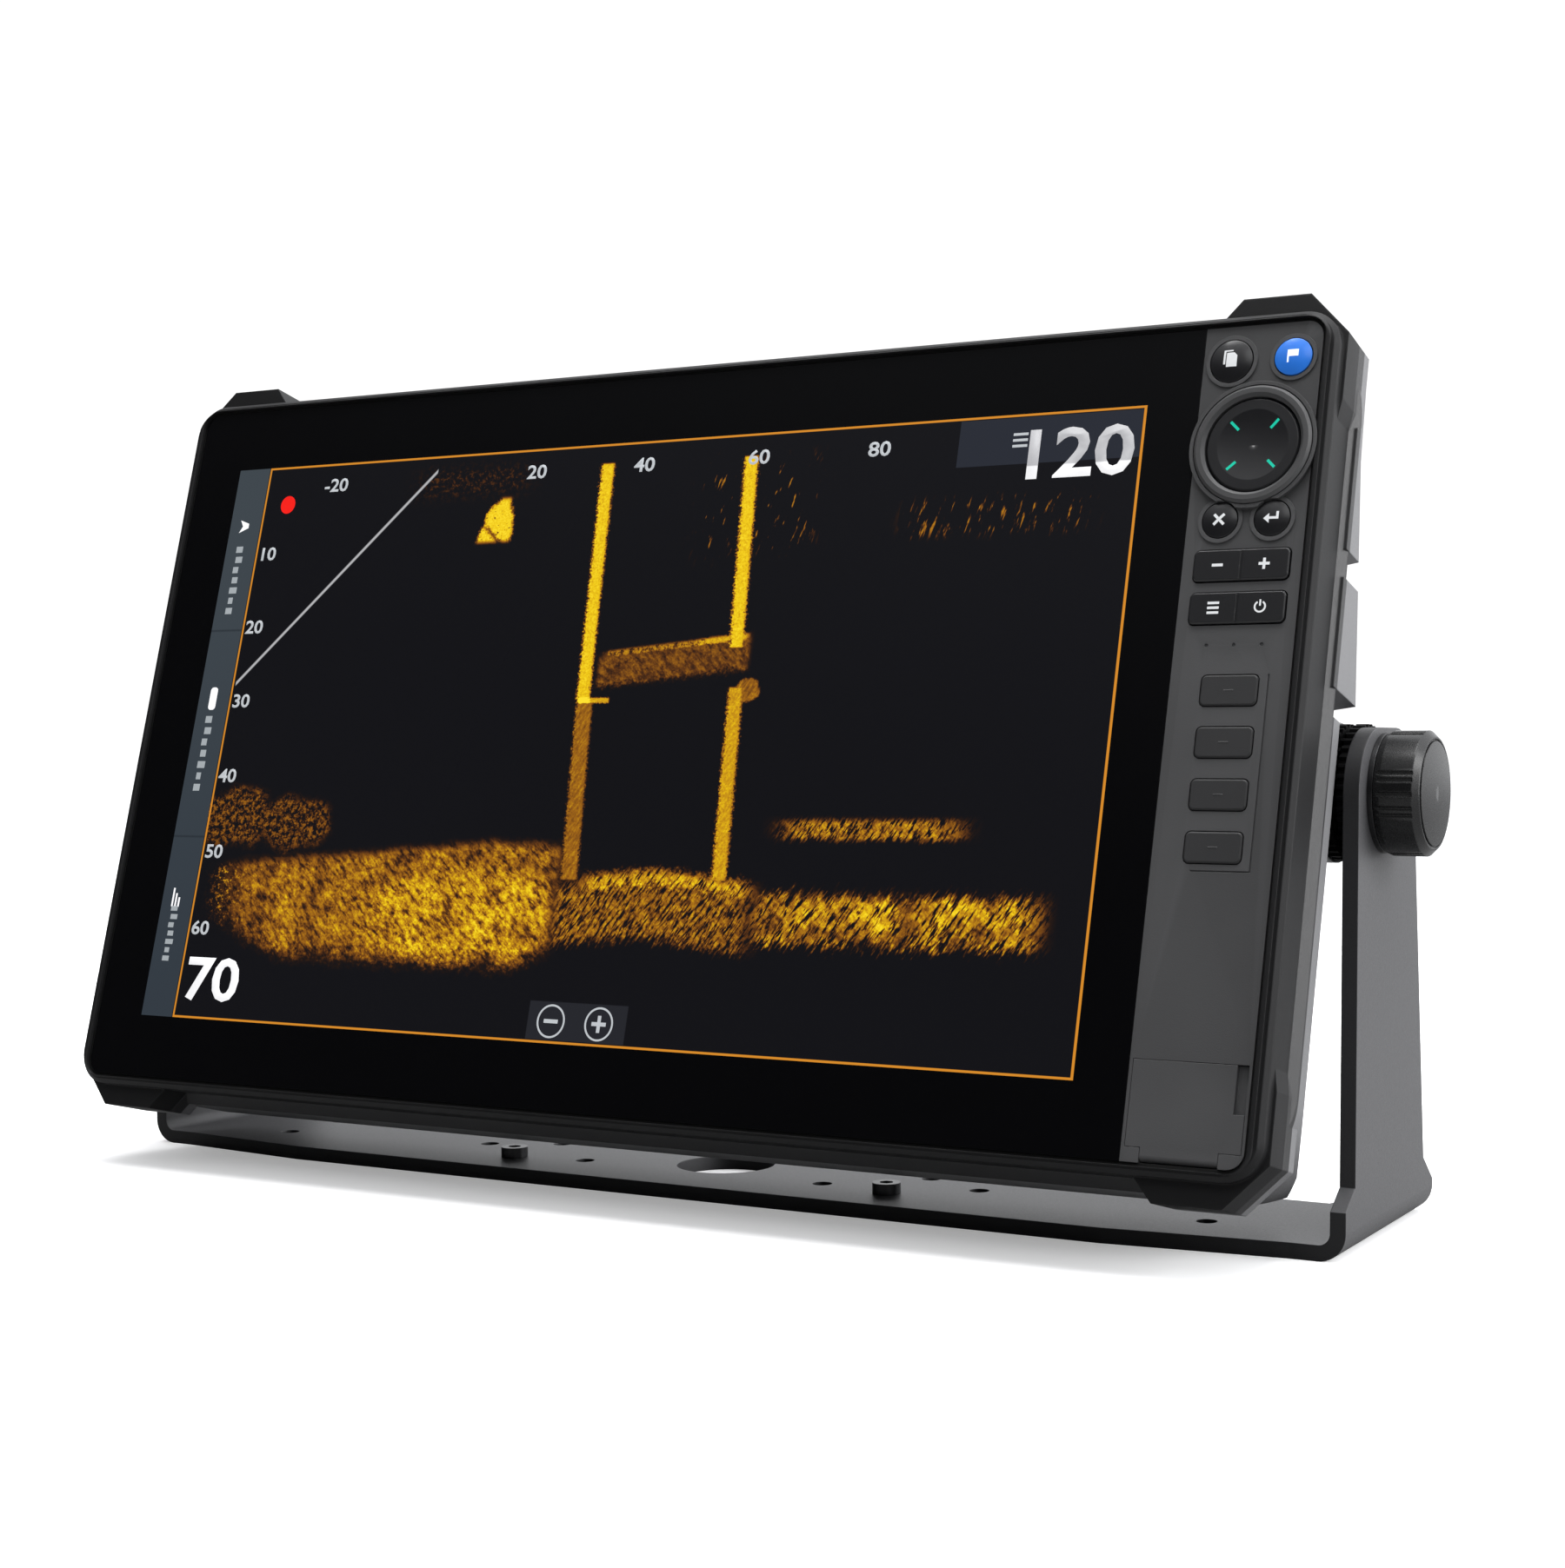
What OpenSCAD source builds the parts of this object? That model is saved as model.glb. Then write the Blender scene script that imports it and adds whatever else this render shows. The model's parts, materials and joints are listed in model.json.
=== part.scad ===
// Chartplotter display on a gimbal bracket.
// World frame: X to the right, Y away from the viewer, Z up. The origin is on the underside of
// the bracket base, below the middle of the tilt axis.
// Head frame: x to the right, y up the screen, z out of the cover glass. Its origin is the middle
// of the front frame, on the glass surface.

/* [Placement] */
// Height of the tilt axis above the mounting surface
axis_h = 128; // [126:0.5:140]
// Backward lean of the display as placed, in degrees
lean = 15; // [8:1:30]
// Distance of the tilt axis behind the glass surface
axis_depth = 47.8; // [46:0.1:50]
// Distance of the tilt axis below the middle of the frame
axis_drop = 5; // [3:0.5:8]

/* [Head] */
// Width of the front frame
frame_w = 424; // [420:1:424]
// Height of the front frame
frame_h = 242.4; // [240:0.2:244]
// Depth of the front frame behind the glass
frame_d = 14; // [13:0.5:15]
// Corner radius of the front frame
frame_r = 11; // [9:0.5:13]
// Height of the rounded lip around the glass
lip_h = 1.2; // [0.8:0.1:1.5]
// Depth of the whole case behind the glass
case_d = 84; // [80:1:88]
// Half of the height over the corner pads
pad_half_h = 128; // [126:0.5:129]

/* [Screen] */
// Width of the lit display area
screen_w = 344.2; // [340:0.1:346]
// Height of the lit display area
screen_h = 193.6; // [190:0.1:196]
// Sideways offset of the lit area from the middle of the frame
screen_x = -15.5; // [-17:0.5:-14]
// Offset of the lit area upwards from the middle of the frame
screen_y = -0.6; // [-1:0.1:0]
// Thickness of the cover glass
glass_t = 2.8; // [2.4:0.1:2.8]

/* [Keypad] */
// Middle line of the keypad
key_x = 190; // [189.5:0.1:190.5]
// Radius of the dial ring
dial_r = 17.2; // [16.8:0.1:17.3]
// Radius of the four-way pad
pad_r = 13.65; // [13:0.05:13.7]
// Travel of a key
key_travel = 0.7; // [0.4:0.1:0.7]
// Gap around each key
key_gap = 0.3; // [0.25:0.05:0.35]

/* [Bracket] */
// Distance from the middle to the outer face of an arm
arm_x = 221; // [220:0.5:223]
// Thickness of the bracket plate
plate_t = 4.5; // [4:0.5:4.5]
// Radius of the base mounting holes
base_hole_r = 3.1; // [2.6:0.1:3.3]
// Radius of the cable hole in the base
cable_hole_r = 16; // [12:0.5:17]

/* [Clamp knobs] */
// Radius of a knob
knob_r = 17.65; // [16:0.05:18]
// Length of a knob along its axis
knob_l = 13; // [12:0.5:15]
// Radius of the knob screw
knob_screw_r = 4; // [3:0.5:4]
// Radial running clearance of the knob screw
run_gap = 0.05; // [0.02:0.01:0.09]

/* [Hidden] */
$fn = 96;

// Small overlap that makes touching shapes of one solid merge
eps = 0.05;
// Cover glass opening and the outline of glass plus fascia
glass_l = -207.2;
glass_r = 172.4;
face_half_h = 117.9;
gasket_w = 1;
open_l = glass_l - gasket_w;
open_r = 207.2 + gasket_w;
open_half_h = face_half_h + gasket_w;
face_r = 5;
// Inner opening of the frame behind its glass shelf
shelf_z = -3.6;
well_l = -203;
well_r = 205.6;
well_half_h = 115.6;
// Rear housing section behind the frame
housing_half_w = 214;
side_slope = 12.5;
block_spans = [[17, 48.5], [56.5, 92]];
wedge_span = [9, 92];
housing_half_h = 124.5;
housing_wall_z = -70;
fin_pitch = 12;
fin_gap = 6;
fin_depth = 9;
case_screw_x = [-196, -120, -40, 40, 120, 196];
case_screw_y = 118.4;
case_screw_r = 1.25;
// Pivot stack along the axis: insert, ratchet ring, gap, ratchet ring, arm, washer, knob
boss_x = 207.5;
boss_r = 20;
ratchet_r = 19.5;
ratchet_gap = 0.3;
arm_inner_x = arm_x - plate_t;
ratchet_mid_x = (boss_x + arm_inner_x) / 2;
washer_t = 1.5;
washer_r = 17;
screw_head_r = 7;
screw_head_h = 6;
insert_r = 7;
insert_l = 16;
bush_r = 6;
// Blind threaded holes in the back for flush mounting studs
stud_hole_r = 2.1;
stud_hole_l = 5;
stud_hole_at = [176, 92];
seal_h = 1.2;
// Layers of the display stack behind the glass
touch_t = 0.5;
lcd_t = 2;
light_t = 6.6;
chassis_t = 1.5;
// Keypad positions in the head frame
pages_at = [181, 107.4];
mark_at = [199.2, 107.3];
exit_at = [182.4, 60.4];
enter_at = [197.6, 60.4];
pages_r = 6.2;
mark_r = 5.4;
corner_key_r = 5.1;
dial_at = [key_x, 81.9];
dial_bore_r = 14.05;
dial_skirt_r = 15.9;
bezel_r = 18.6;
bezel_h = 1.4;
bezel_sunk = 0.5;
collar_r = 17.1;
collar_z = -4.9;
gimbal_z = -2.8;
cross_pin_r = 0.8;
rocker_size = [27.8, 9];
zoom_y = 47.2;
menu_y = 34.9;
quick_size = [16.4, 8.6];
quick_y = [11.5, -3.1, -17.7, -32.3];
flange_z = -3.8;
flange_t = 0.7;
flange_w = 0.7;
mat_z = flange_z - flange_t - key_travel - 0.1;
mat_t = 1.2;
board_z = mat_z - mat_t - 0.1;
board_t = 1.6;
// Card door
door_half_w = 16.3;
door_x = 189.9;
door_top = -90.4;
door_bottom = -117.6;
door_t = 2.5;
hinge_r = 1.7;
barrel = [178, 200];
pin_span = [174, 203];
knuckle_top = -113.9;
hinge_y = door_bottom + hinge_r;
hinge_z = -hinge_r;
door_pin_r = 0.8;
door_gap = 0.15;
pocket_z = -3.8;
// Boards and sockets
main_board_z = -25.6;
board_posts = [[-130, 70], [-130, -40], [40, 70], [40, -40]];
vent_at = [155, -62];
vent_r = 5;
cavity_z = -64;
spreader_at = [-40, 20];
spreader_pad_t = 0.8;
socket_y = -62;
power_x = -128;
network_x = [-94, -62];
sonar_x = [-24, 14];
ethernet_x = [52, 86];
video_x = 124;
// Bracket plan
base_front = -37.5;
base_rear = 27;
foot_front = -32;
foot_rear = 52.5;
arm_front = -23.8;
arm_rear_top = 29;
arm_rear_low = 42.6;
arm_top_r = 18.5;
bend_r = 8;
outer_holes = [174, -15, 11];
front_holes = [45.5, -15];
middle_holes = [94.5, -3];
rear_holes = [72, 8];
base_screw_at = [71, -19.5];
base_screw_r = 2.5;

// ---------------------------------------------------------------- shared shapes

module head_place() {
    translate([0, 0, axis_h]) rotate([90 - lean, 0, 0]) translate([0, axis_drop, axis_depth]) children();
}

// Puts a shape drawn along +z onto the tilt axis, pointing to the right (side 1) or left (side -1)
module axis_place(side) {
    translate([0, 0, axis_h]) rotate([0, side * 90, 0]) children();
}

module both_sides() {
    for (side = [-1, 1]) axis_place(side) children();
}

module rounded(w, h, r) {
    square([w - 2 * r, h], center = true);
    square([w, h - 2 * r], center = true);
    for (x = [-1, 1], y = [-1, 1]) translate([x * (w / 2 - r), y * (h / 2 - r)]) circle(r);
}

// Rounded rectangle between two x values and two y values
module rounded_span(x0, x1, y0, y1, r) {
    translate([(x0 + x1) / 2, (y0 + y1) / 2]) rounded(x1 - x0, y1 - y0, r);
}

// Plate with rounded corners whose top edge is chamfered; it stands on z = 0
module chamfered_slab(w, h, r, t, c) {
    linear_extrude(t - c) rounded(w, h, r);
    translate([0, 0, t - c]) {
        for (x = [-1, 1], y = [-1, 1]) translate([x * (w / 2 - r), y * (h / 2 - r), 0])
            cylinder(h = c, r1 = r, r2 = r - c);
        chamfered_bar(w - 2 * r, h, c);
        rotate([0, 0, 90]) chamfered_bar(h - 2 * r, w, c);
    }
}

module chamfered_bar(length, width, c) {
    rotate([90, 0, 90]) translate([0, 0, -length / 2]) linear_extrude(length)
        polygon([[-width / 2, 0], [width / 2, 0], [width / 2 - c, c], [-width / 2 + c, c]]);
}

module at(p, z = 0) {
    translate([p[0], p[1], z]) children();
}

module ring(r_out, r_in, h) {
    difference() {
        cylinder(h = h, r = r_out);
        translate([0, 0, -1]) cylinder(h = h + 2, r = r_in);
    }
}

// Socket head cap screw pointing down: head above z = 0, shank below
module cap_screw(r, length, head_r, head_h) {
    difference() {
        union() {
            cylinder(h = head_h, r = head_r);
            translate([0, 0, -length]) cylinder(h = length + eps, r = r);
        }
        translate([0, 0, head_h * 0.4]) cylinder(h = head_h, r = r * 0.9, $fn = 6);
    }
}

// ---------------------------------------------------------------- bracket

module base_outline() {
    difference() {
        polygon([
            [-arm_x, foot_front], [-205, foot_front], [-150, base_front], [150, base_front],
            [205, foot_front], [arm_x, foot_front], [arm_x, foot_rear], [205, foot_rear],
            [197, base_rear], [-197, base_rear], [-205, foot_rear], [-arm_x, foot_rear]
        ]);
        circle(cable_hole_r);
        for (s = [-1, 1]) {
            for (y = [outer_holes[1], outer_holes[2]])
                translate([s * outer_holes[0], y]) circle(base_hole_r);
            for (p = [front_holes, middle_holes, rear_holes])
                translate([s * p[0], p[1]]) circle(base_hole_r);
            translate([s * base_screw_at[0], base_screw_at[1]]) circle(base_screw_r);
        }
    }
}

// Arm outline in the Y-Z plane
module arm_outline() {
    top = axis_h;
    difference() {
        union() {
            polygon([
                [foot_front, 0], [foot_front, 14], [arm_front, 19.5], [arm_front, top], [arm_rear_top, top],
                [arm_rear_low, 18], [foot_rear, 10], [foot_rear, 0]
            ]);
            for (y = [arm_front + arm_top_r, arm_rear_top - arm_top_r]) translate([y, top]) circle(arm_top_r);
            translate([arm_front + arm_top_r, top])
                square([arm_rear_top - arm_front - 2 * arm_top_r, arm_top_r]);
        }
        translate([0, axis_h]) circle(bush_r);
    }
}

module gimbal_bracket() {
    fillet = bend_r - plate_t;
    foot_l = foot_rear - foot_front;
    foot_mid = (foot_rear + foot_front) / 2;
    color([0.25, 0.25, 0.26]) difference() {
        union() {
            linear_extrude(plate_t) base_outline();
            for (s = [-1, 1]) {
                translate([s * (arm_x - plate_t / 2) - plate_t / 2, 0, 0])
                    rotate([90, 0, 90]) linear_extrude(plate_t) arm_outline();
                // inside of the bend
                intersection() {
                    difference() {
                        translate([s * (arm_inner_x - fillet / 2), foot_mid, plate_t + fillet / 2])
                            cube([fillet + eps, foot_l, fillet + eps], center = true);
                        translate([s * (arm_inner_x - fillet), 0, plate_t + fillet])
                            rotate([90, 0, 0]) cylinder(h = 4 * foot_l, r = fillet, center = true);
                    }
                    translate([0, 0, -1]) linear_extrude(bend_r * 3) base_outline();
                }
            }
        }
        // outside of the bend
        for (s = [-1, 1]) translate([s * (arm_x - bend_r), 2 * foot_l, 0])
            rotate([90, 0, 0]) linear_extrude(4 * foot_l) scale([s, 1]) difference() {
                translate([0, -1]) square([bend_r + 1, bend_r + 1]);
                translate([0, bend_r]) circle(bend_r);
            }
    }
}

module base_screws() {
    head_h = 3.4;
    color([0.1, 0.1, 0.11]) for (s = [-1, 1])
        translate([s * base_screw_at[0], base_screw_at[1], plate_t])
            cap_screw(base_screw_r, plate_t, 4.4, head_h);
}

module arm_bushes() {
    rim_r = 8;
    rim_t = 1;
    color([0.12, 0.12, 0.13]) both_sides() difference() {
        union() {
            translate([0, 0, arm_inner_x - rim_t]) cylinder(h = rim_t + plate_t, r = bush_r);
            translate([0, 0, arm_inner_x - rim_t]) cylinder(h = rim_t, r = rim_r);
        }
        cylinder(h = arm_x + 1, r = knob_screw_r + run_gap);
    }
}

// Toothed outline of a ratchet ring
module ratchet_outline(bore_r) {
    teeth = 40;
    step = 360 / teeth;
    difference() {
        polygon([for (i = [0 : teeth - 1], corner = [[0, -1], [0.22, 0], [0.5, 0], [0.72, -1]])
            (ratchet_r + corner[1]) * [cos((i + corner[0]) * step), sin((i + corner[0]) * step)]]);
        circle(bore_r);
    }
}

// Ratchet ring whose face at z = height carries radial ridges
module ratchet_ring(height, bore_r) {
    ridges = 24;
    ridge_h = 0.8;
    linear_extrude(height - ridge_h) ratchet_outline(bore_r);
    translate([0, 0, height - ridge_h]) for (i = [0 : ridges - 1]) rotate([0, 0, i * 360 / ridges])
        translate([11, -0.8, -eps]) cube([6.5, 1.6, ridge_h + eps]);
}

module arm_ratchets() {
    height = arm_inner_x - ratchet_mid_x - ratchet_gap / 2;
    color([0.06, 0.06, 0.065]) for (side = [-1, 1]) axis_place(side)
        translate([0, 0, arm_inner_x]) mirror([0, 0, 1]) ratchet_ring(height, 8.2);
}

module head_ratchets() {
    height = ratchet_mid_x - boss_x - ratchet_gap / 2;
    color([0.05, 0.05, 0.055]) both_sides() translate([0, 0, boss_x]) ratchet_ring(height, 8.2);
}

// ---------------------------------------------------------------- clamp knobs

module washer(side) {
    color([0.1, 0.1, 0.11]) axis_place(side) translate([0, 0, arm_x])
        ring(washer_r, knob_screw_r + run_gap, washer_t);
}

module knob(side) {
    groups = 4;
    ribs = 7;
    rib_step = 6.5;
    rib_r = 0.75;
    rim_c = 1.8;
    hub_r = 16.8;
    color([0.08, 0.08, 0.085]) axis_place(side) translate([0, 0, arm_x + washer_t]) difference() {
        union() {
            cylinder(h = 2, r1 = hub_r, r2 = knob_r);
            translate([0, 0, 2]) cylinder(h = knob_l - 2 - rim_c, r = knob_r);
            translate([0, 0, knob_l - rim_c]) cylinder(h = rim_c, r1 = knob_r, r2 = knob_r - rim_c);
            intersection() {
                translate([0, 0, knob_l]) cylinder(h = 2, r = knob_r - rim_c - 1);
                translate([0, 0, knob_l + 0.9 - 160]) sphere(160, $fn = 200);
            }
        }
        // grip ribs in groups round the rim
        for (g = [0 : groups - 1], i = [0 : ribs - 1])
            rotate([0, 0, g * 360 / groups + (i - (ribs - 1) / 2) * rib_step])
                translate([knob_r + 0.2, 0, -1]) cylinder(h = knob_l - rim_c + 1, r = rib_r, $fn = 24);
        // groove round the end disc
        translate([0, 0, knob_l - 0.5]) ring(knob_r - rim_c - 0.6, knob_r - rim_c - 1.2, 2);
        // socket for the pressed-in screw head
        translate([0, 0, -1]) cylinder(h = 1 + screw_head_h, r = screw_head_r);
    }
}

module knob_screw(side) {
    tip_x = boss_x - insert_l + 2;
    head_x = arm_x + washer_t;
    color([0.72, 0.72, 0.74]) axis_place(side) {
        translate([0, 0, head_x]) cylinder(h = screw_head_h, r = screw_head_r);
        translate([0, 0, tip_x]) cylinder(h = head_x - tip_x + eps, r = knob_screw_r);
    }
}

module left_washer() { washer(-1); }
module left_knob() { knob(-1); }
module left_knob_screw() { knob_screw(-1); }
module right_washer() { washer(1); }
module right_knob() { knob(1); }
module right_knob_screw() { knob_screw(1); }

module pivot_inserts() {
    color([0.78, 0.62, 0.3]) both_sides() translate([0, 0, boss_x - insert_l])
        ring(insert_r, knob_screw_r + run_gap, insert_l);
}

// ---------------------------------------------------------------- front frame and glass

// Outline of the frame with its four raised corner pads
module padded_outline() {
    rounded(frame_w, frame_h, frame_r);
    for (x = [-1, 1], y = [-1, 1]) scale([x, y])
        polygon([[150, 90], [150, frame_h / 2], [175, frame_h / 2], [181, pad_half_h], [201, pad_half_h],
                 [frame_w / 2 + 1, 115.5], [frame_w / 2 + 1, 96], [frame_w / 2, 90]]);
}

module front_frame() {
    pad_start = -4;
    chamfer = 2.2;
    groove = 0.9;
    lip_w = 1.3;
    color([0.11, 0.11, 0.115]) head_place() difference() {
        union() {
            translate([0, 0, -frame_d]) linear_extrude(frame_d + pad_start) padded_outline();
            translate([0, 0, pad_start - 1])
                chamfered_slab(frame_w, frame_h, frame_r, lip_h - pad_start + 1, chamfer);
        }
        // glass and fascia opening
        translate([0, 0, shelf_z])
            linear_extrude(20) rounded_span(open_l, open_r, -open_half_h, open_half_h, face_r + gasket_w);
        translate([0, 0, -frame_d - 1])
            linear_extrude(frame_d) rounded_span(well_l, well_r, -well_half_h, well_half_h, 4);
        // fine groove that leaves a thin lip round the glass
        translate([0, 0, lip_h - 0.8]) linear_extrude(2) difference() {
            rounded_span(open_l - lip_w - groove, open_r + lip_w + groove,
                         -open_half_h - 0.85, open_half_h + 0.85, face_r + 2.5);
            rounded_span(open_l - lip_w, open_r + lip_w,
                         -open_half_h - 0.4, open_half_h + 0.4, face_r + 2);
        }
        for (x = case_screw_x, y = [-1, 1])
            translate([x, y * case_screw_y, -frame_d - 1]) cylinder(h = 8, r = case_screw_r + run_gap);
        // room for the bezel round the dial
        at(dial_at, -0.55) cylinder(h = 10, r = bezel_r + 0.2);
        at(dial_at, collar_z - 0.3) cylinder(h = -collar_z, r = collar_r + 0.3);
    }
}

module glass_outline() {
    difference() {
        rounded_span(glass_l, glass_r + 20, -face_half_h, face_half_h, face_r);
        translate([glass_r, -200]) square([60, 400]);
        at(dial_at) circle(bezel_r + 0.1);
    }
}

module cover_glass() {
    color([0.01, 0.01, 0.012]) head_place() translate([0, 0, -glass_t])
        linear_extrude(glass_t) glass_outline();
}

module glass_gasket() {
    depth = -0.6 - shelf_z;
    color([0.03, 0.03, 0.03]) head_place() translate([0, 0, shelf_z]) difference() {
        linear_extrude(depth) rounded_span(open_l, open_r, -open_half_h, open_half_h, face_r + gasket_w);
        translate([0, 0, -shelf_z - glass_t]) linear_extrude(depth)
            rounded_span(glass_l, open_r - gasket_w, -face_half_h, face_half_h, face_r);
        translate([0, 0, -1]) linear_extrude(depth + 2)
            rounded_span(well_l, well_r, -well_half_h, well_half_h, 4);
        // the fascia is thicker than the glass and goes down to the shelf
        translate([0, 0, -1]) linear_extrude(10) fascia_outline();
    }
}

module screen_block(w, h, z, t) {
    head_place() translate([screen_x, screen_y, z - t]) linear_extrude(t) rounded(w, h, 2);
}

module touch_layer() {
    color([0.2, 0.2, 0.22]) screen_block(screen_w + 8, screen_h + 8, -glass_t, touch_t);
}

module lcd_panel() {
    color([0.05, 0.05, 0.07]) screen_block(screen_w + 7, screen_h + 9, -glass_t - touch_t, lcd_t);
}

module backlight_unit() {
    z = -glass_t - touch_t - lcd_t;
    color([0.8, 0.8, 0.82]) screen_block(screen_w + 12, screen_h + 16, z, light_t);
}

module chassis_plate() {
    z = -glass_t - touch_t - lcd_t - light_t;
    color([0.72, 0.73, 0.75]) head_place() difference() {
        union() {
            translate([screen_x, screen_y, z - chassis_t]) linear_extrude(chassis_t)
                rounded(screen_w + 16, screen_h + 22, 4);
            for (p = board_posts) at(p, main_board_z + board_t)
                cylinder(h = z - chassis_t - main_board_z - board_t + eps, r = 3.5);
        }
        for (p = board_posts) at(p, main_board_z) cylinder(h = 8, r = case_screw_r + run_gap);
    }
}

// ---------------------------------------------------------------- keypad

module key_positions_round() {
    at(pages_at) circle(pages_r + key_gap);
    at(mark_at) circle(mark_r + key_gap);
    at(exit_at) circle(corner_key_r + key_gap);
    at(enter_at) circle(corner_key_r + key_gap);
}

module key_positions_bars() {
    for (y = [zoom_y, menu_y]) translate([key_x, y])
        rounded(rocker_size[0] + 2 * key_gap, rocker_size[1] + 2 * key_gap, 1.8);
    for (y = quick_y) translate([key_x, y])
        rounded(quick_size[0] + 2 * key_gap, quick_size[1] + 2 * key_gap, 1.8);
}

module fascia_outline() {
    difference() {
        rounded_span(glass_r - 20, open_r - gasket_w, -face_half_h, face_half_h, face_r);
        translate([glass_r - 60, -200]) square([60.1, 400]);
    }
}

module keypad_fascia() {
    plate = -shelf_z - 0.1;
    plate_at_keys = 3;
    pocket_floor = -6;
    slot = [15, 2.2];
    // raised rims round the four round keys
    collar_h = 0.45;
    collar_w = 1.5;
    color([0.24, 0.24, 0.245]) head_place() difference() {
        union() {
            difference() {
                translate([0, 0, -plate]) linear_extrude(plate) fascia_outline();
                // thinner behind the keys
                translate([0, 0, -plate - 1]) linear_extrude(1 + plate - plate_at_keys)
                    rounded_span(173.6, 205, -42, 114.8, 2);
            }
            at(dial_at, -bezel_sunk) cylinder(h = bezel_h + bezel_sunk, r = bezel_r);
            at(pages_at, -eps) cylinder(h = collar_h, r = pages_r + collar_w);
            at(mark_at, -eps) cylinder(h = collar_h, r = mark_r + collar_w);
            for (p = [exit_at, enter_at]) at(p, -eps) cylinder(h = collar_h, r = corner_key_r + collar_w);
            at(dial_at, collar_z) cylinder(h = -collar_z, r = collar_r);
            // box behind the card door
            translate([0, 0, pocket_floor]) linear_extrude(3)
                rounded_span(glass_r + 0.6, well_r - 0.4, -113.6, -88.8, 2);
        }
        at(dial_at, collar_z - 1) cylinder(h = 20, r = dial_skirt_r + run_gap);
        at(dial_at, 0.1) cylinder(h = 20, r = dial_r + key_gap);
        translate([0, 0, -20]) linear_extrude(40) key_positions_round();
        translate([0, 0, -20]) linear_extrude(40) key_positions_bars();
        // room for the flanges of the two keys next to the dial
        for (p = [exit_at, enter_at])
            at(p, -20) cylinder(h = 20 - plate_at_keys, r = corner_key_r + flange_w + key_gap);
        // card door pocket, its two card slots and the hinge pin holes
        translate([door_x - door_half_w - door_gap, knuckle_top, pocket_z])
            cube([2 * door_half_w + 2 * door_gap, door_top - knuckle_top + door_gap, 10]);
        translate([barrel[0] - door_gap, door_bottom - 2, pocket_z])
            cube([barrel[1] - barrel[0] + 2 * door_gap, 10, 10]);
        for (s = [-1, 1]) translate([door_x - slot[0] / 2, -103 + s * 4 - slot[1] / 2, -20])
            cube([slot[0], slot[1], 40]);
        translate([pin_span[0], hinge_y, hinge_z])
            rotate([0, 90, 0]) cylinder(h = pin_span[1] - pin_span[0], r = door_pin_r);
        // shallow engraved line beside the quick keys
        translate([200.8, -39, -0.3]) cube([0.4, 55, 1]);
        translate([184, -39, -0.3]) cube([17.2, 0.4, 1]);
        for (x = [-8, 0, 8]) translate([key_x + x, 24.4, -0.3]) cylinder(h = 1, r = 0.55);
    }
}

module key_mat() {
    color([0.5, 0.5, 0.52]) head_place() translate([0, 0, mat_z - mat_t]) difference() {
        linear_extrude(mat_t) rounded_span(173.4, 204.8, -42, 114.6, 2);
        at(dial_at, -1) cylinder(h = 4, r = 5);
    }
}

module keypad_board() {
    color([0.05, 0.25, 0.12]) head_place() translate([0, 0, board_z - board_t]) {
        linear_extrude(board_t) rounded_span(173.4, 204.8, -42, 114.6, 2);
        translate([0, 0, -2]) linear_extrude(2 + eps) rounded_span(176, 186, -38, -32, 0.5);
    }
}

// Round key with a domed cap, a stem through the fascia and a flange behind it
module round_key(p, r, cap_h) {
    head_place() at(p) {
        dome_r = r * 3.2;
        intersection() {
            translate([0, 0, flange_z - flange_t]) cylinder(h = cap_h - flange_z + flange_t, r = r);
            translate([0, 0, cap_h - dome_r]) sphere(dome_r, $fn = 200);
        }
        translate([0, 0, flange_z - flange_t]) cylinder(h = flange_t, r = r + flange_w);
    }
}

module bar_key(y, size, cap_h) {
    head_place() translate([key_x, y, flange_z - flange_t]) {
        chamfered_slab(size[0], size[1], 1.5, cap_h - flange_z + flange_t, 0.4);
        linear_extrude(flange_t) rounded(size[0] + 2 * flange_w, size[1] + 2 * flange_w, 2);
    }
}

module pages_button() { color([0.1, 0.1, 0.105]) round_key(pages_at, pages_r, 1.5); }
module mark_button() { color([0.1, 0.38, 0.8]) round_key(mark_at, mark_r, 1.5); }
module exit_button() { color([0.1, 0.1, 0.105]) round_key(exit_at, corner_key_r, 1.3); }
module enter_button() { color([0.1, 0.1, 0.105]) round_key(enter_at, corner_key_r, 1.3); }

module rocker(y) {
    wrap = 0.25;
    head_place() difference() {
        translate([key_x, y, flange_z - flange_t]) {
            chamfered_slab(rocker_size[0], rocker_size[1], 1.5, 0.9 - flange_z + flange_t, 0.4);
            linear_extrude(flange_t) rounded(rocker_size[0] + 2 * flange_w, rocker_size[1] + 2 * flange_w, 2);
        }
        translate([key_x - 0.3, y - 10, 0.9 - wrap]) cube([0.6, 20, 1]);
    }
}

module zoom_rocker() { color([0.13, 0.13, 0.135]) rocker(zoom_y); }
module menu_rocker() { color([0.13, 0.13, 0.135]) rocker(menu_y); }

module quick_key(i) {
    color([0.16, 0.16, 0.165]) bar_key(quick_y[i], quick_size, 0.5);
}

module quick_key_1() { quick_key(0); }
module quick_key_2() { quick_key(1); }
module quick_key_3() { quick_key(2); }
module quick_key_4() { quick_key(3); }

module dial_ring() {
    top = 2.2;
    color([0.16, 0.16, 0.165]) head_place() at(dial_at) difference() {
        union() {
            translate([0, 0, 0.4]) cylinder(h = top - 1.2, r = dial_r);
            translate([0, 0, top - 0.8]) cylinder(h = 0.8, r1 = dial_r, r2 = dial_r - 0.8);
            translate([0, 0, collar_z]) cylinder(h = 1 - collar_z, r = dial_skirt_r);
        }
        translate([0, 0, -20]) cylinder(h = 40, r = dial_bore_r);
        translate([0, 0, top - 0.9]) cylinder(h = 1, r1 = dial_bore_r, r2 = dial_bore_r + 1);
    }
}

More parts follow.
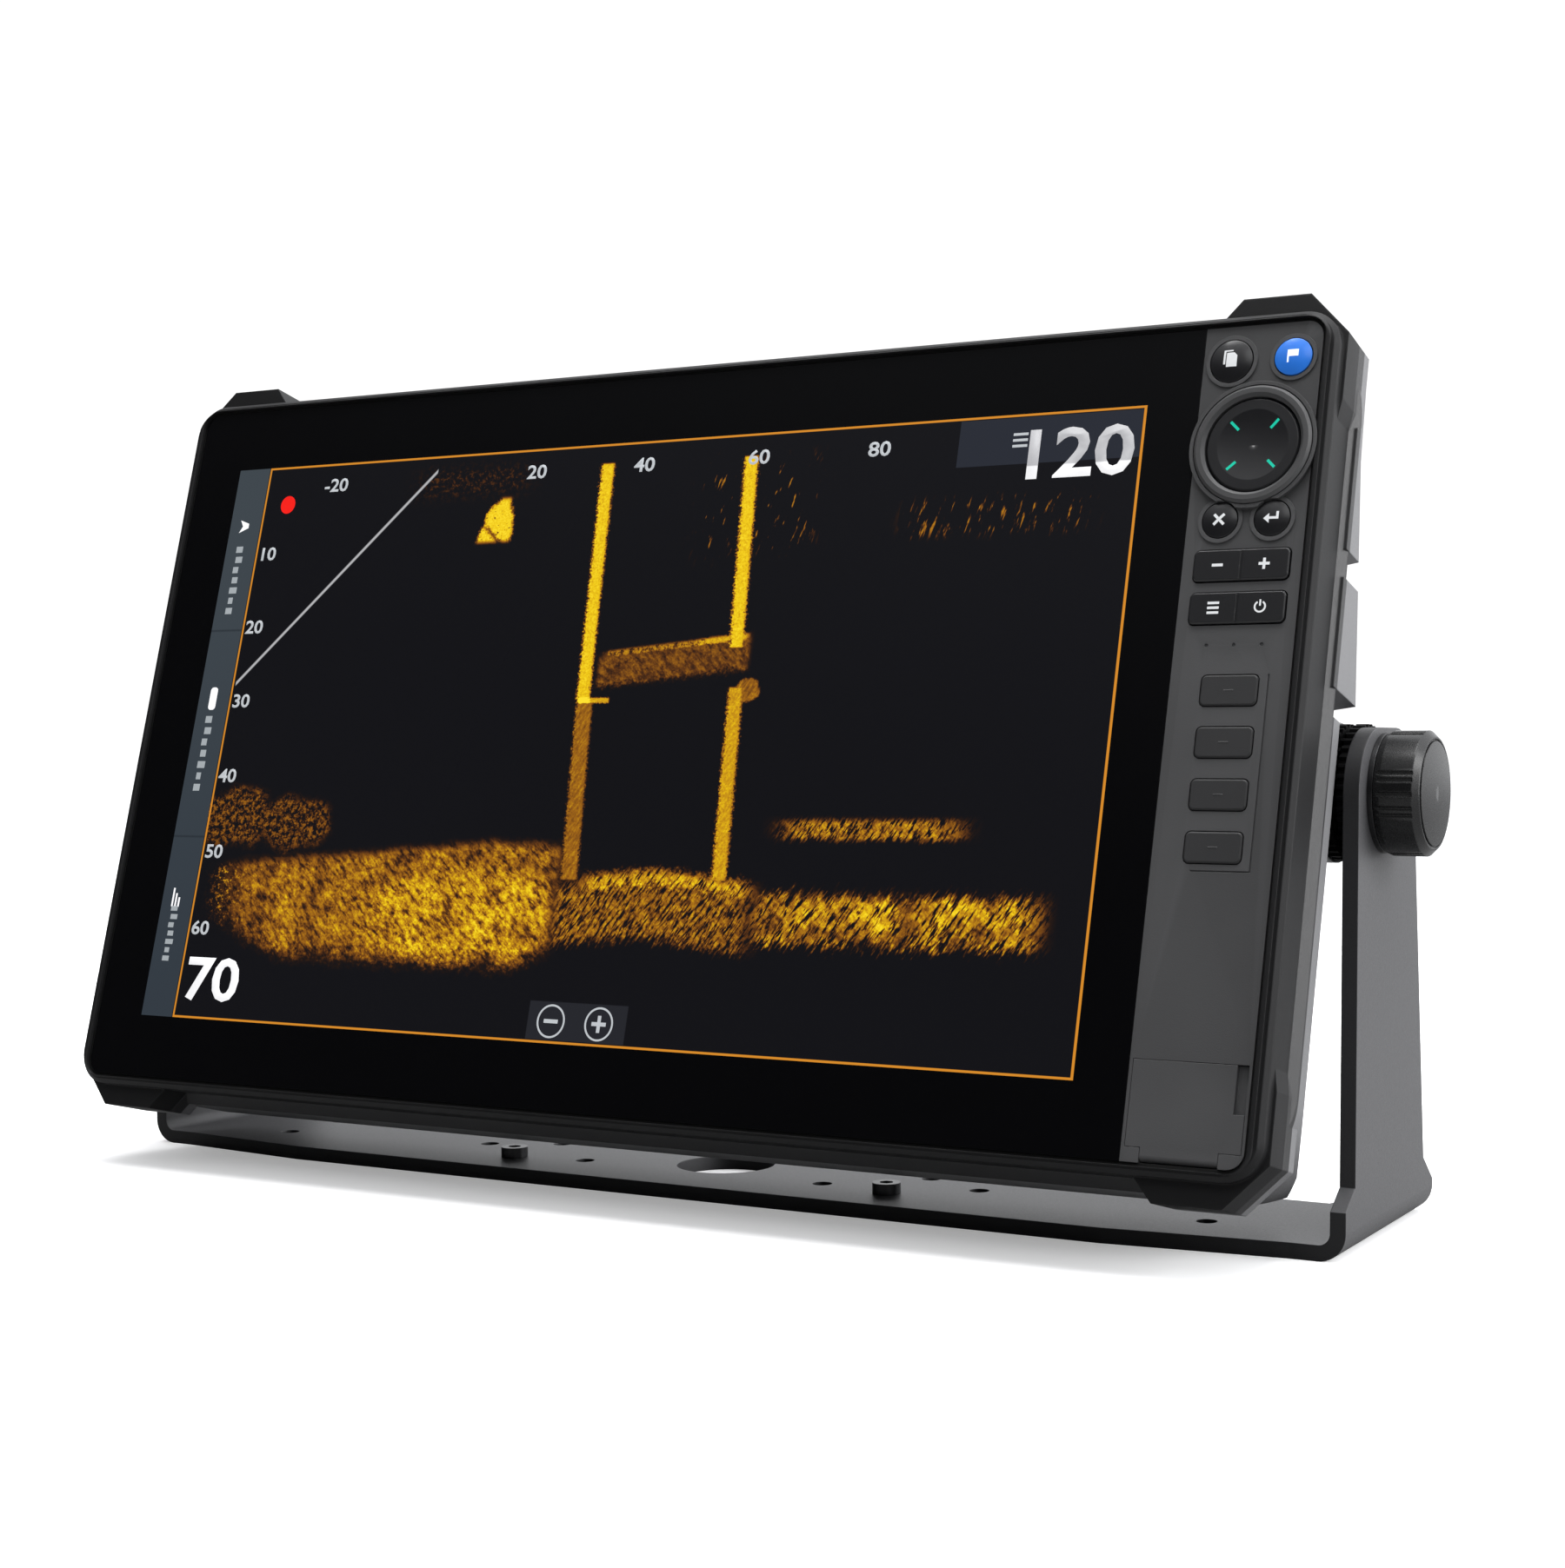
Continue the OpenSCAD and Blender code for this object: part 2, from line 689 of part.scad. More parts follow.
// The four-way pad rocks on a gimbal ring, which rocks on the plunger
module pad_plunger() {
    color([0.8, 0.8, 0.78]) head_place() at(dial_at) {
        translate([0, 0, -5.9]) cylinder(h = 4, r = 3.2);
        translate([0, 0, gimbal_z]) rotate([0, 90, 0]) cylinder(h = 14.4, r = cross_pin_r, center = true);
    }
}

module pad_gimbal() {
    height = 2.2;
    color([0.6, 0.6, 0.6]) head_place() at(dial_at) translate([0, 0, gimbal_z]) difference() {
        translate([0, 0, -height / 2]) ring(7.6, 4.6, height);
        for (turn = [[0, 90, 0], [90, 0, 0]]) rotate(turn)
            cylinder(h = 20, r = cross_pin_r + run_gap, center = true);
    }
}

module nav_pad() {
    rim_z = 1.2;
    dish_r = 60;
    dish_depth = 0.9;
    color([0.04, 0.04, 0.045]) head_place() at(dial_at) {
        difference() {
            union() {
                translate([0, 0, -0.9]) cylinder(h = 1.6, r = pad_r);
                translate([0, 0, 0.7]) cylinder(h = rim_z - 0.7, r1 = pad_r, r2 = pad_r - 0.5);
            }
            translate([0, 0, rim_z - dish_depth + dish_r]) sphere(dish_r, $fn = 200);
        }
        for (s = [-1, 1]) scale([1, s, 1]) {
            translate([-1.5, 8.4, gimbal_z - 1.1]) cube([3, 2, 3.1]);
            translate([0, 8.6, gimbal_z]) rotate([90, 0, 0]) cylinder(h = 3.2, r = cross_pin_r);
        }
    }
}

// ---------------------------------------------------------------- card door

module card_door() {
    notch = [203.1, -103.4];
    // the lower edge is hollowed to clear the fascia as the door swings
    hollow_r = 2.7;
    color([0.23, 0.23, 0.235]) head_place() difference() {
        union() {
            difference() {
                translate([door_x - door_half_w, knuckle_top + door_gap, -door_t])
                    cube([2 * door_half_w, door_top - knuckle_top - door_gap, door_t]);
                translate([door_x - 20, hinge_y, hinge_z])
                    rotate([0, 90, 0]) cylinder(h = 40, r = hollow_r);
            }
            translate([barrel[0], hinge_y, -door_t]) cube([barrel[1] - barrel[0], 4, door_t]);
            translate([barrel[0], hinge_y, hinge_z])
                rotate([0, 90, 0]) cylinder(h = barrel[1] - barrel[0], r = hinge_r);
        }
        translate([door_x - 20, hinge_y, hinge_z])
            rotate([0, 90, 0]) cylinder(h = 40, r = door_pin_r + run_gap);
        // finger notch at the upper right
        translate([notch[0], notch[1], -1.6]) cube([10, 13.4 - 0.4, 4]);
    }
}

module door_seal() {
    color([0.05, 0.05, 0.05]) head_place() translate([door_x, -103, -door_t - 0.9]) difference() {
        linear_extrude(0.9) rounded(27, 20, 2);
        translate([0, 0, -1]) linear_extrude(3) rounded(24, 17, 1);
    }
}

module door_pin() {
    color([0.75, 0.75, 0.77]) head_place() translate([pin_span[0], hinge_y, hinge_z])
        rotate([0, 90, 0]) cylinder(h = pin_span[1] - pin_span[0], r = door_pin_r);
}

module card_reader() {
    color([0.7, 0.7, 0.72]) head_place() difference() {
        translate([door_x - 12, -111, -13]) cube([24, 17, 6.9]);
        for (s = [-1, 1]) translate([door_x - 6.2, -103 + s * 4 - 0.6, -12]) cube([12.4, 1.2, 10]);
    }
}

// ---------------------------------------------------------------- rear housing

// Plan section: half width at each depth
module housing_plan() {
    half = [
        [frame_w / 2, -frame_d], [housing_half_w, -18], [housing_half_w, -24], [207, -44], [197, -62],
        [190, housing_wall_z], [158, housing_wall_z], [153, -case_d]
    ];
    polygon(concat(half, [for (i = [len(half) - 1 : -1 : 0]) [-half[i][0], half[i][1]]]));
}

// Side section: half height at each depth
module housing_profile() {
    half = [
        [frame_h / 2, -frame_d], [housing_half_h, -18], [housing_half_h, -46], [112, housing_wall_z],
        [94, housing_wall_z], [89, -case_d]
    ];
    polygon(concat(half, [for (i = [len(half) - 1 : -1 : 0]) [-half[i][0], half[i][1]]]));
}

// Plan outline of the sides, whose rear edge slopes as it rises
module housing_slope() {
    half = [
        [housing_half_w + 1, 200], [housing_half_w, -39], [208, -49], [203, -80], [194, -96], [180, -120]
    ];
    polygon(concat(half, [for (i = [len(half) - 1 : -1 : 0]) [-half[i][0], half[i][1]]]));
}

// Shallow blocks on both sides above the pivots
module side_blocks() {
    front_z = -16;
    depth = 44;
    for (s = [-1, 1], span = block_spans) scale([s, 1, 1]) intersection() {
        translate([190, span[0], front_z - depth]) cube([40, span[1] - span[0], depth]);
        rotate([90 + side_slope, 0, 0]) translate([0, 0, -150]) linear_extrude(300)
            polygon([[190, 60], [housing_half_w, 60], [housing_half_w, -39], [205, -43], [190, -62]]);
    }
}

// Wedge outside a line that runs inwards and back; margin moves it inwards and lengthens it
module side_wedge(margin) {
    for (s = [-1, 1]) scale([s, 1, 1]) translate([-margin, wedge_span[1] + margin, 0])
        rotate([90, 0, 0]) linear_extrude(wedge_span[1] - wedge_span[0] + 2 * margin)
            polygon([[209, -18], [235, -18], [235, -75], [183, -75]]);
}

module housing_shell() {
    long = 600;
    intersection() {
        union() {
            difference() {
                rotate([90, 0, 0]) translate([0, 0, -long / 2]) linear_extrude(long) housing_plan();
                side_wedge(0);
            }
            side_blocks();
        }
        rotate([90, 0, 90]) translate([0, 0, -long / 2]) linear_extrude(long) housing_profile();
        rotate([90 + side_slope, 0, 0]) translate([0, 0, -long / 2]) linear_extrude(long) housing_slope();
        translate([0, 0, -100]) linear_extrude(100) rounded(2 * housing_half_w, 2 * housing_half_h, 28);
    }
}

module pads_behind() {
    depth = 9;
    translate([0, 0, -frame_d - depth]) linear_extrude(depth) intersection() {
        padded_outline();
        for (x = [-1, 1], y = [-1, 1]) scale([x, y]) translate([150, 90]) square(80);
    }
}

module rear_housing() {
    color([0.36, 0.36, 0.37]) difference() {
        union() {
            head_place() {
                housing_shell();
                pads_behind();
            }
            both_sides() translate([0, 0, boss_x - 20]) cylinder(h = 20, r = boss_r);
            intersection() {
                both_sides() translate([0, 0, boss_x - 27])
                    cylinder(h = 21, r1 = boss_r + 14, r2 = boss_r + 1);
                head_place() translate([0, 0, housing_wall_z])
                    linear_extrude(50) square(2 * housing_half_w, center = true);
            }
        }
        head_place() {
            housing_cavity();
            housing_fins();
            socket_openings();
            for (x = case_screw_x, y = [-1, 1]) translate([x, y * case_screw_y, 0]) {
                translate([0, 0, -40]) cylinder(h = 40, r = case_screw_r + run_gap);
                translate([0, 0, -90]) cylinder(h = 60, r = 3.2);
            }
            for (x = [-1, 1], y = [-1, 1]) at([x * stud_hole_at[0], y * stud_hole_at[1]], housing_wall_z - 1)
                cylinder(h = stud_hole_l + 1, r = stud_hole_r);
            // groove for the case seal
            translate([0, 0, -frame_d - seal_h]) linear_extrude(5) seal_outline();
        }
        both_sides() {
            translate([0, 0, boss_x - insert_l]) cylinder(h = 2 * insert_l, r = insert_r);
            // room for the ratchet ring
            translate([0, 0, boss_x]) cylinder(h = 20, r = ratchet_r + 0.8);
        }
    }
}

module seal_outline() {
    difference() {
        rounded_span(well_l - 1.4, well_r + 1.4, -well_half_h - 1.5, well_half_h + 1.5, 4);
        rounded_span(well_l - 0.2, well_r + 0.2, -well_half_h - 0.3, well_half_h + 0.3, 3.2);
    }
}

module housing_cavity() {
    difference() {
        union() {
            translate([0, 0, -42]) linear_extrude(60) rounded(2 * 201, 2 * 114, 4);
            translate([0, 0, cavity_z]) linear_extrude(60) rounded(2 * 190, 2 * 108, 4);
        }
        // solid blocks that carry the pivot inserts
        for (s = [-1, 1]) translate([s * 200, -axis_drop, -axis_depth]) cube([30, 48, 40], center = true);
        side_wedge(3);
    }
}

module housing_fins() {
    count = floor(290 / fin_pitch);
    for (i = [0 : count]) translate([(i - count / 2) * fin_pitch - fin_gap / 2, -28, -case_d - 1])
        cube([fin_gap, 150, fin_depth + 1]);
    // lower part of the raised back is cut away for the sockets
    translate([-200, -200, -case_d - 1]) cube([400, 200 - 34, case_d + housing_wall_z + 1]);
}

module socket_openings() {
    translate([power_x, socket_y, -90]) cylinder(h = 40, r = 8.2);
    for (x = network_x) translate([x, socket_y, -90]) cylinder(h = 40, r = 7.2);
    for (x = sonar_x) translate([x, socket_y, -90]) cylinder(h = 40, r = 10.2);
    for (x = ethernet_x) translate([x, socket_y, -90]) cylinder(h = 40, r = 9.2);
    translate([video_x, socket_y, -75]) cube([20, 10, 30], center = true);
    at(vent_at, -90) cylinder(h = 40, r = vent_r + 0.1);
}

module case_seal() {
    color([0.1, 0.1, 0.1]) head_place()
        translate([0, 0, -frame_d - seal_h]) linear_extrude(seal_h) seal_outline();
}

module case_screws() {
    color([0.75, 0.75, 0.77]) head_place() for (x = case_screw_x, y = [-1, 1])
        translate([x, y * case_screw_y, -30]) mirror([0, 0, 1]) cap_screw(case_screw_r, 23, 2.6, 2.4);
}

// ---------------------------------------------------------------- inside the case

module main_board() {
    color([0.04, 0.22, 0.12]) head_place() translate([0, 0, main_board_z]) difference() {
        linear_extrude(board_t) rounded_span(-138, 48, -48, 78, 3);
        for (p = board_posts) at(p, -1) cylinder(h = 5, r = case_screw_r + run_gap);
    }
}

module board_chips() {
    color([0.1, 0.1, 0.1]) head_place() {
        at(spreader_at, main_board_z - 1.6) translate([-15, -15, 0]) cube([30, 30, 1.6]);
        for (i = [0 : 3]) translate([-100 + i * 13, -22, main_board_z - 1]) cube([9, 12, 1]);
        for (x = [-110, 10]) translate([x, 50, main_board_z - 2]) cube([16, 16, 2]);
    }
}

module board_screws() {
    color([0.75, 0.75, 0.77]) head_place() for (p = board_posts)
        at(p, main_board_z) mirror([0, 0, 1]) cap_screw(case_screw_r, 7, 2.6, 1.8);
}

module heat_spreader() {
    top = main_board_z - 1.6;
    color([0.8, 0.8, 0.82]) head_place() {
        at(spreader_at, cavity_z + spreader_pad_t) {
            translate([-20, -20, 0]) cube([40, 40, 6]);
            translate([-14, -14, 0]) cube([28, 28, top - cavity_z - spreader_pad_t]);
        }
    }
}

module thermal_pad() {
    color([0.6, 0.7, 0.8]) head_place()
        at(spreader_at, cavity_z) translate([-20, -20, 0]) cube([40, 40, spreader_pad_t]);
}

module sonar_board() {
    posts = [[68, 70], [150, 70], [68, -20], [150, -20]];
    color([0.04, 0.22, 0.12]) head_place() {
        translate([0, 0, -46]) linear_extrude(board_t) rounded_span(60, 158, -28, 78, 3);
        for (p = posts) at(p, cavity_z) cylinder(h = 18 + eps, r = 3);
    }
}

module sonar_shield() {
    color([0.78, 0.78, 0.8]) head_place() translate([0, 0, -44.4]) difference() {
        linear_extrude(9) rounded_span(72, 146, -14, 62, 2);
        translate([0, 0, -1]) linear_extrude(9.4) rounded_span(72.6, 145.4, -13.4, 61.4, 1.4);
    }
}

module power_board() {
    color([0.06, 0.24, 0.13]) head_place() {
        translate([0, 0, cavity_z + 4]) linear_extrude(board_t) rounded_span(-172, -100, -36, 36, 3);
        for (p = [[-166, -30], [-106, -30], [-166, 30], [-106, 30]])
            at(p, cavity_z) cylinder(h = 4 + eps, r = 3);
        for (y = [-14, 12]) translate([-140, y, cavity_z + 5]) cylinder(h = 12, r = 8);
    }
}

module gps_antenna() {
    color([0.85, 0.8, 0.7]) head_place() translate([120, 98, cavity_z]) {
        linear_extrude(4) translate([-14, -5]) square([28, 10]);
        translate([-12, -4, 4 - eps]) cube([24, 8, 12]);
    }
}

module buzzer() {
    color([0.08, 0.08, 0.08]) head_place() translate([-160, -85, cavity_z]) {
        cylinder(h = 6, r = 11);
        translate([0, 0, 6 - eps]) cylinder(h = 1, r = 3);
    }
}

module breather_vent() {
    color([0.15, 0.15, 0.15]) head_place() at(vent_at) {
        translate([0, 0, housing_wall_z - 2]) cylinder(h = 2, r = vent_r + 3);
        translate([0, 0, housing_wall_z - eps]) cylinder(h = 8, r = vent_r);
    }
}

module display_ribbon() {
    t = 0.4;
    z_top = -glass_t - touch_t - lcd_t - light_t - chassis_t;
    color([0.75, 0.55, 0.2]) head_place() translate([50, 10, 0]) {
        translate([-1, 0, z_top - t]) cube([16, 40, t]);
        translate([14.6, 0, main_board_z + board_t]) cube([t, 40, z_top - main_board_z - board_t]);
        translate([-12, 0, main_board_z + board_t]) cube([27, 40, t]);
    }
}

// Panel socket with a flange, a threaded collar and contact pins, pointing out of the back
module socket(body_r, collar_r, pins) {
    flange_h = 2.5;
    collar_h = 11;
    bore_r = collar_r - 1.6;
    translate([0, 0, housing_wall_z]) mirror([0, 0, 1]) difference() {
        union() {
            translate([0, 0, -7]) cylinder(h = 7 + eps, r = body_r);
            chamfered_slab(2 * collar_r + 7, 2 * collar_r + 7, 4, flange_h, 0.6);
            translate([0, 0, flange_h - eps]) cylinder(h = collar_h, r = collar_r);
        }
        difference() {
            translate([0, 0, flange_h + 1]) cylinder(h = collar_h, r = bore_r);
            cylinder(h = flange_h + 6, r = 1.1);
            for (i = [0 : pins - 1]) rotate([0, 0, i * 360 / pins])
                translate([bore_r * 0.6, 0, 0]) cylinder(h = flange_h + 8, r = 0.7, $fn = 24);
        }
    }
}

module socket_row(xs, body_r, collar_r, pins) {
    color([0.09, 0.09, 0.1]) head_place()
        for (x = xs) at([x, socket_y]) socket(body_r, collar_r, pins);
}

module power_socket() { socket_row([power_x], 8, 9.5, 4); }
module network_sockets() { socket_row(network_x, 7, 7.5, 5); }
module sonar_sockets() { socket_row(sonar_x, 10, 11.5, 9); }
module ethernet_sockets() { socket_row(ethernet_x, 9, 10, 5); }

module video_socket() {
    color([0.09, 0.09, 0.1]) head_place()
        at([video_x, socket_y], housing_wall_z) mirror([0, 0, 1]) difference() {
        union() {
            chamfered_slab(30, 20, 3, 3, 0.6);
            translate([-9.8, -4.8, -7]) cube([19.6, 9.6, 7 + eps]);
        }
        difference() {
            translate([-8, -3.2, -3]) cube([16, 6.4, 10]);
            translate([-6.5, -0.8, -4]) cube([13, 1.6, 6]);
        }
    }
}

// ---------------------------------------------------------------- nodes

gimbal_bracket();
base_screws();
arm_bushes();
arm_ratchets();
front_frame();
glass_gasket();
cover_glass();
touch_layer();
lcd_panel();
backlight_unit();
chassis_plate();
keypad_fascia();
key_mat();
keypad_board();
card_reader();
rear_housing();
case_seal();
case_screws();
head_ratchets();
pivot_inserts();
main_board();
board_chips();
board_screws();
heat_spreader();
thermal_pad();
sonar_board();
sonar_shield();
power_board();
gps_antenna();
buzzer();
breather_vent();
display_ribbon();
power_socket();
network_sockets();
sonar_sockets();
ethernet_sockets();
video_socket();
left_washer();
left_knob();
left_knob_screw();
right_washer();
right_knob();
right_knob_screw();
card_door();
door_seal();
door_pin();
pages_button();
mark_button();
exit_button();
enter_button();
dial_ring();
nav_pad();
pad_gimbal();
pad_plunger();
zoom_rocker();
menu_rocker();
quick_key_1();
quick_key_2();
quick_key_3();
quick_key_4();
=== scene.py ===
"""Looks of the chartplotter display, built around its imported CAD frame."""
import json
import math

import bmesh
import bpy
from mathutils import Matrix, Vector


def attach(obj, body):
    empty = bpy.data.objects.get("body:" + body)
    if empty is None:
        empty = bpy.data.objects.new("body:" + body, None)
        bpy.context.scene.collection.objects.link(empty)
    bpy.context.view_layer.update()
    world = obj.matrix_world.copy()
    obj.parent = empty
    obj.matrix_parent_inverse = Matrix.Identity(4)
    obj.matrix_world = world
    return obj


MM = 0.001
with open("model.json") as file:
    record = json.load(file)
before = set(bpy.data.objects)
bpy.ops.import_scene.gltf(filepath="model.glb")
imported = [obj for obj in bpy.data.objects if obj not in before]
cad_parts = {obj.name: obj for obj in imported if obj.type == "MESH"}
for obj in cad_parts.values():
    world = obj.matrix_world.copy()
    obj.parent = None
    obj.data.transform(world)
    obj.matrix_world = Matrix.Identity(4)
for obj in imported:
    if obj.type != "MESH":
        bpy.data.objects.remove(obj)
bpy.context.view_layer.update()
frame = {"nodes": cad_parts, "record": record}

# ------------------------------------------------------------------ places
# The head frame, in millimetres: x right, y up the screen, z out of the glass, origin in the glass's middle.
AXIS_H = 128.0  # knob axis above the base
LEAN = 15.0  # degrees that the glass leans back
RISE = math.radians(90 - LEAN)
GLASS_UP, GLASS_OUT = 5.0, 47.8  # middle of the glass from the knob axis, along the head's y and z
HEAD = (Matrix.Translation((0, 0, AXIS_H)) @ Matrix.Rotation(RISE, 4, "X")
        @ Matrix.Translation((0, GLASS_UP, GLASS_OUT)))
SCREEN = HEAD @ Matrix.Translation((-15.5, -0.6, 0))
SCREEN_W, SCREEN_H = 344.2, 193.6
PICTURE_THICK = 0.04
MARK_GAP = 0.005  # marks lie this far clear of what is under them
ON_GLASS = SCREEN @ Matrix.Translation((0, 0, PICTURE_THICK + MARK_GAP))
KEY_X = 190.0
DIAL_Y = 81.9
METRES = Matrix.Scale(MM, 4)


def link(name, mesh, body, material):
    obj = bpy.data.objects.new(name, mesh)
    bpy.context.scene.collection.objects.link(obj)
    obj.data.materials.clear()
    obj.data.materials.append(material)
    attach(obj, body)
    return obj


# ------------------------------------------------------------------ node maths
class Field:
    """A value at every point of a surface, held as a shader socket."""

    def __init__(self, tree, socket):
        self.tree, self.socket = tree, socket

    def _math(self, kind, *others, clamp=False):
        n = self.tree.nodes.new("ShaderNodeMath")
        n.operation = kind
        n.use_clamp = clamp
        for i, x in enumerate((self,) + others):
            if isinstance(x, Field):
                self.tree.links.new(x.socket, n.inputs[i])
            else:
                n.inputs[i].default_value = x
        return Field(self.tree, n.outputs[0])

    def __add__(self, o):
        return self._math("ADD", o)

    def __sub__(self, o):
        return self._math("SUBTRACT", o)

    def __mul__(self, o):
        return self._math("MULTIPLY", o)

    def __truediv__(self, o):
        return self._math("DIVIDE", o)

    def abs(self):
        return self._math("ABSOLUTE")

    def max(self, o):
        return self._math("MAXIMUM", o)

    def min(self, o):
        return self._math("MINIMUM", o)

    def clamp(self):
        return self._math("ADD", 0.0, clamp=True)

    def ramp(self, a, b):
        """0 at a and before, 1 at b and after, smooth between; a may be above b."""
        n = self.tree.nodes.new("ShaderNodeMapRange")
        n.interpolation_type = "SMOOTHSTEP"
        lo, hi, out = (a, b, (0.0, 1.0)) if a < b else (b, a, (1.0, 0.0))
        self.tree.links.new(self.socket, n.inputs["Value"])
        n.inputs["From Min"].default_value = lo
        n.inputs["From Max"].default_value = hi
        n.inputs["To Min"].default_value = out[0]
        n.inputs["To Max"].default_value = out[1]
        return Field(self.tree, n.outputs["Result"])

    def band(self, a, b, soft):
        """1 between a and b."""
        return self.ramp(a - soft, a + soft) * self.ramp(b + soft, b - soft)


class Shader:
    """A material whose nodes are written as expressions."""

    BEVEL_SAMPLES = 6

    def __init__(self, name):
        self.material = bpy.data.materials.new(name)
        self.material.use_nodes = True
        self.tree = self.material.node_tree
        self.bsdf = self.tree.nodes["Principled BSDF"]

    def node(self, kind, **inputs):
        n = self.tree.nodes.new(kind)
        for k, v in inputs.items():
            self.put(n.inputs[k.replace("_", " ")], v)
        return n

    def put(self, socket, value):
        if isinstance(value, Field):
            self.tree.links.new(value.socket, socket)
        elif isinstance(value, bpy.types.NodeSocket):
            self.tree.links.new(value, socket)
        else:
            socket.default_value = value

    def set(self, **inputs):
        for k, v in inputs.items():
            self.put(self.bsdf.inputs[k.replace("_", " ")], v)

    def coords(self, stretch=(1, 1, 1), uv=False):
        """Object coordinates in millimetres, or the piece's own flat coordinates."""
        tex = self.node("ShaderNodeTexCoord")
        mapping = self.node("ShaderNodeMapping")
        mapping.inputs["Scale"].default_value = stretch if uv else [s / MM for s in stretch]
        self.tree.links.new(tex.outputs["UV" if uv else "Object"], mapping.inputs["Vector"])
        return mapping.outputs["Vector"]

    def noise(self, scale, detail=2.0, rough=0.5, stretch=(1, 1, 1), uv=False, distort=0.0):
        n = self.node("ShaderNodeTexNoise", Vector=self.coords(stretch, uv), Scale=scale, Detail=detail,
                      Roughness=rough, Distortion=distort)
        return Field(self.tree, n.outputs["Fac"])

    def parts(self, vector):
        """The x, y and z of a vector socket, as fields."""
        split = self.node("ShaderNodeSeparateXYZ", Vector=vector)
        return [Field(self.tree, out) for out in split.outputs]

    def cells(self, scale, feature="F1"):
        n = self.node("ShaderNodeTexVoronoi", Vector=self.coords(), Scale=scale)
        n.feature = feature
        return Field(self.tree, n.outputs["Distance"])

    def mix(self, fac, a, b):
        n = self.tree.nodes.new("ShaderNodeMix")
        n.data_type = "RGBA"
        self.put(n.inputs["Factor"], fac)
        for socket, value in ((n.inputs[6], a), (n.inputs[7], b)):
            self.put(socket, (*value, 1.0) if isinstance(value, tuple) else value)
        return n.outputs[2]

    def bump(self, height, strength, distance=0.0002, round_edge=0.0):
        b = self.node("ShaderNodeBump", Strength=strength, Distance=distance, Height=height)
        if round_edge:
            edge = self.node("ShaderNodeBevel", Radius=round_edge)
            edge.samples = self.BEVEL_SAMPLES
            self.tree.links.new(edge.outputs["Normal"], b.inputs["Normal"])
        self.tree.links.new(b.outputs["Normal"], self.bsdf.inputs["Normal"])


def grey(v):
    """Linear value of a display level from 0 to 255, by the sRGB curve."""
    c = v / 255
    return ((c + 0.055) / 1.055) ** 2.4 if c > 0.04 else c / 12.92


def rgb(r, g, b):
    return (grey(r), grey(g), grey(b))


def shade(colour, k):
    return tuple(min(1.0, c * k) for c in colour)


# ------------------------------------------------------------------ materials
def moulded(name, colour, rough, grain=2.2, grain_depth=0.25, edge=0.0004, spec=0.5, edge_highlight=0.25):
    """Moulded plastic: fine spark-eroded grain, slight colour drift, and a painted highlight that lightens
    the convex edges.
    """
    s = Shader(name)
    fine = s.noise(grain, 3.0, 0.6)
    cloud = s.noise(0.02, 2.0)
    base = s.mix(cloud.ramp(0.35, 0.65), shade(colour, 0.9), shade(colour, 1.1))
    geo = s.node("ShaderNodeNewGeometry")
    # painted highlight: convex edges, found by their pointiness, are lightened
    highlight_mask = Field(s.tree, geo.outputs["Pointiness"]).ramp(0.52, 0.6) * edge_highlight
    s.set(Base_Color=s.mix(highlight_mask, base, shade(colour, 2.2)))
    s.set(Roughness=fine * 0.12 + (rough - 0.06), Specular_IOR_Level=spec)
    s.bump(fine, grain_depth, 0.00012, edge)
    return s.material


# the arm's round top, above these heights, gets painted shade in coat_shader
ARM_LOW, ARM_HIGH = 60.0, 80.0  # heights between which the bracket's arm starts to count as its round top


def coat_shader(name, colour, rough, painted_edge_shade=0.0):
    """Sprayed coat: orange peel and sparse specks; the last argument is how far painted shade darkens the
    faces turned to the front and back, and the arm's round top.
    """
    s = Shader(name)
    peel = s.noise(1.3, 2.0, 0.5)
    fine = s.noise(6.0, 2.0, 0.6)
    base = s.mix(fine.ramp(0.35, 0.7), shade(colour, 0.82), shade(colour, 1.15))
    shine = 0.45
    if painted_edge_shade:
        # painted shade: faces turned to the front and back, and the arm's round top, are darkened and lose
        # shine, standing in for the light they don't get
        sideways, across, _ = s.parts(s.node("ShaderNodeNewGeometry").outputs["Normal"])
        height = s.parts(s.coords())[2]
        shaded_round_top = sideways.abs().ramp(0.7, 0.4) * height.ramp(ARM_LOW, ARM_HIGH)
        edge = across.abs().ramp(0.6, 0.9).max(shaded_round_top) * painted_edge_shade
        base = s.mix(edge, base, shade(colour, 0.03))
        shine = edge * -0.4 + shine
    s.set(Base_Color=base, Roughness=peel * 0.16 + (rough - 0.08), Specular_IOR_Level=shine)
    s.bump(peel * 0.6 + fine * 0.5, 0.35, 0.0002, 0.0006)
    return s, base


def powder_coat(name, colour, rough, painted_edge_shade):
    return coat_shader(name, colour, rough, painted_edge_shade)[0].material


CASE_FRONT = -18.6  # where the case meets the front frame, in the head's z


def case_coat(name, colour, band_colour):
    """Coated casting whose front edge, next to the frame, carries a dark band."""
    s, coat = coat_shader(name, colour, 0.46)
    _, y, z = s.parts(s.coords())
    depth = (z - AXIS_H) * math.cos(RISE) - y * math.sin(RISE) - GLASS_OUT
    s.set(Base_Color=s.mix(depth.ramp(CASE_FRONT - 0.6, CASE_FRONT), coat, band_colour))
    return s.material


def metal(name, colour, rough, brush=(1, 1, 24)):
    """Drawn or brushed metal with fine directional scratches."""
    s = Shader(name)
    lines = s.noise(0.8, 3.0, 0.6, brush)
    tint = s.noise(0.06, 2.0)
    s.set(Base_Color=s.mix(tint, shade(colour, 0.88), shade(colour, 1.08)), Metallic=1.0)
    s.set(Roughness=lines * 0.2 + (rough - 0.1))
    s.bump(lines, 0.2, 0.0001, 0.0003)
    return s.material


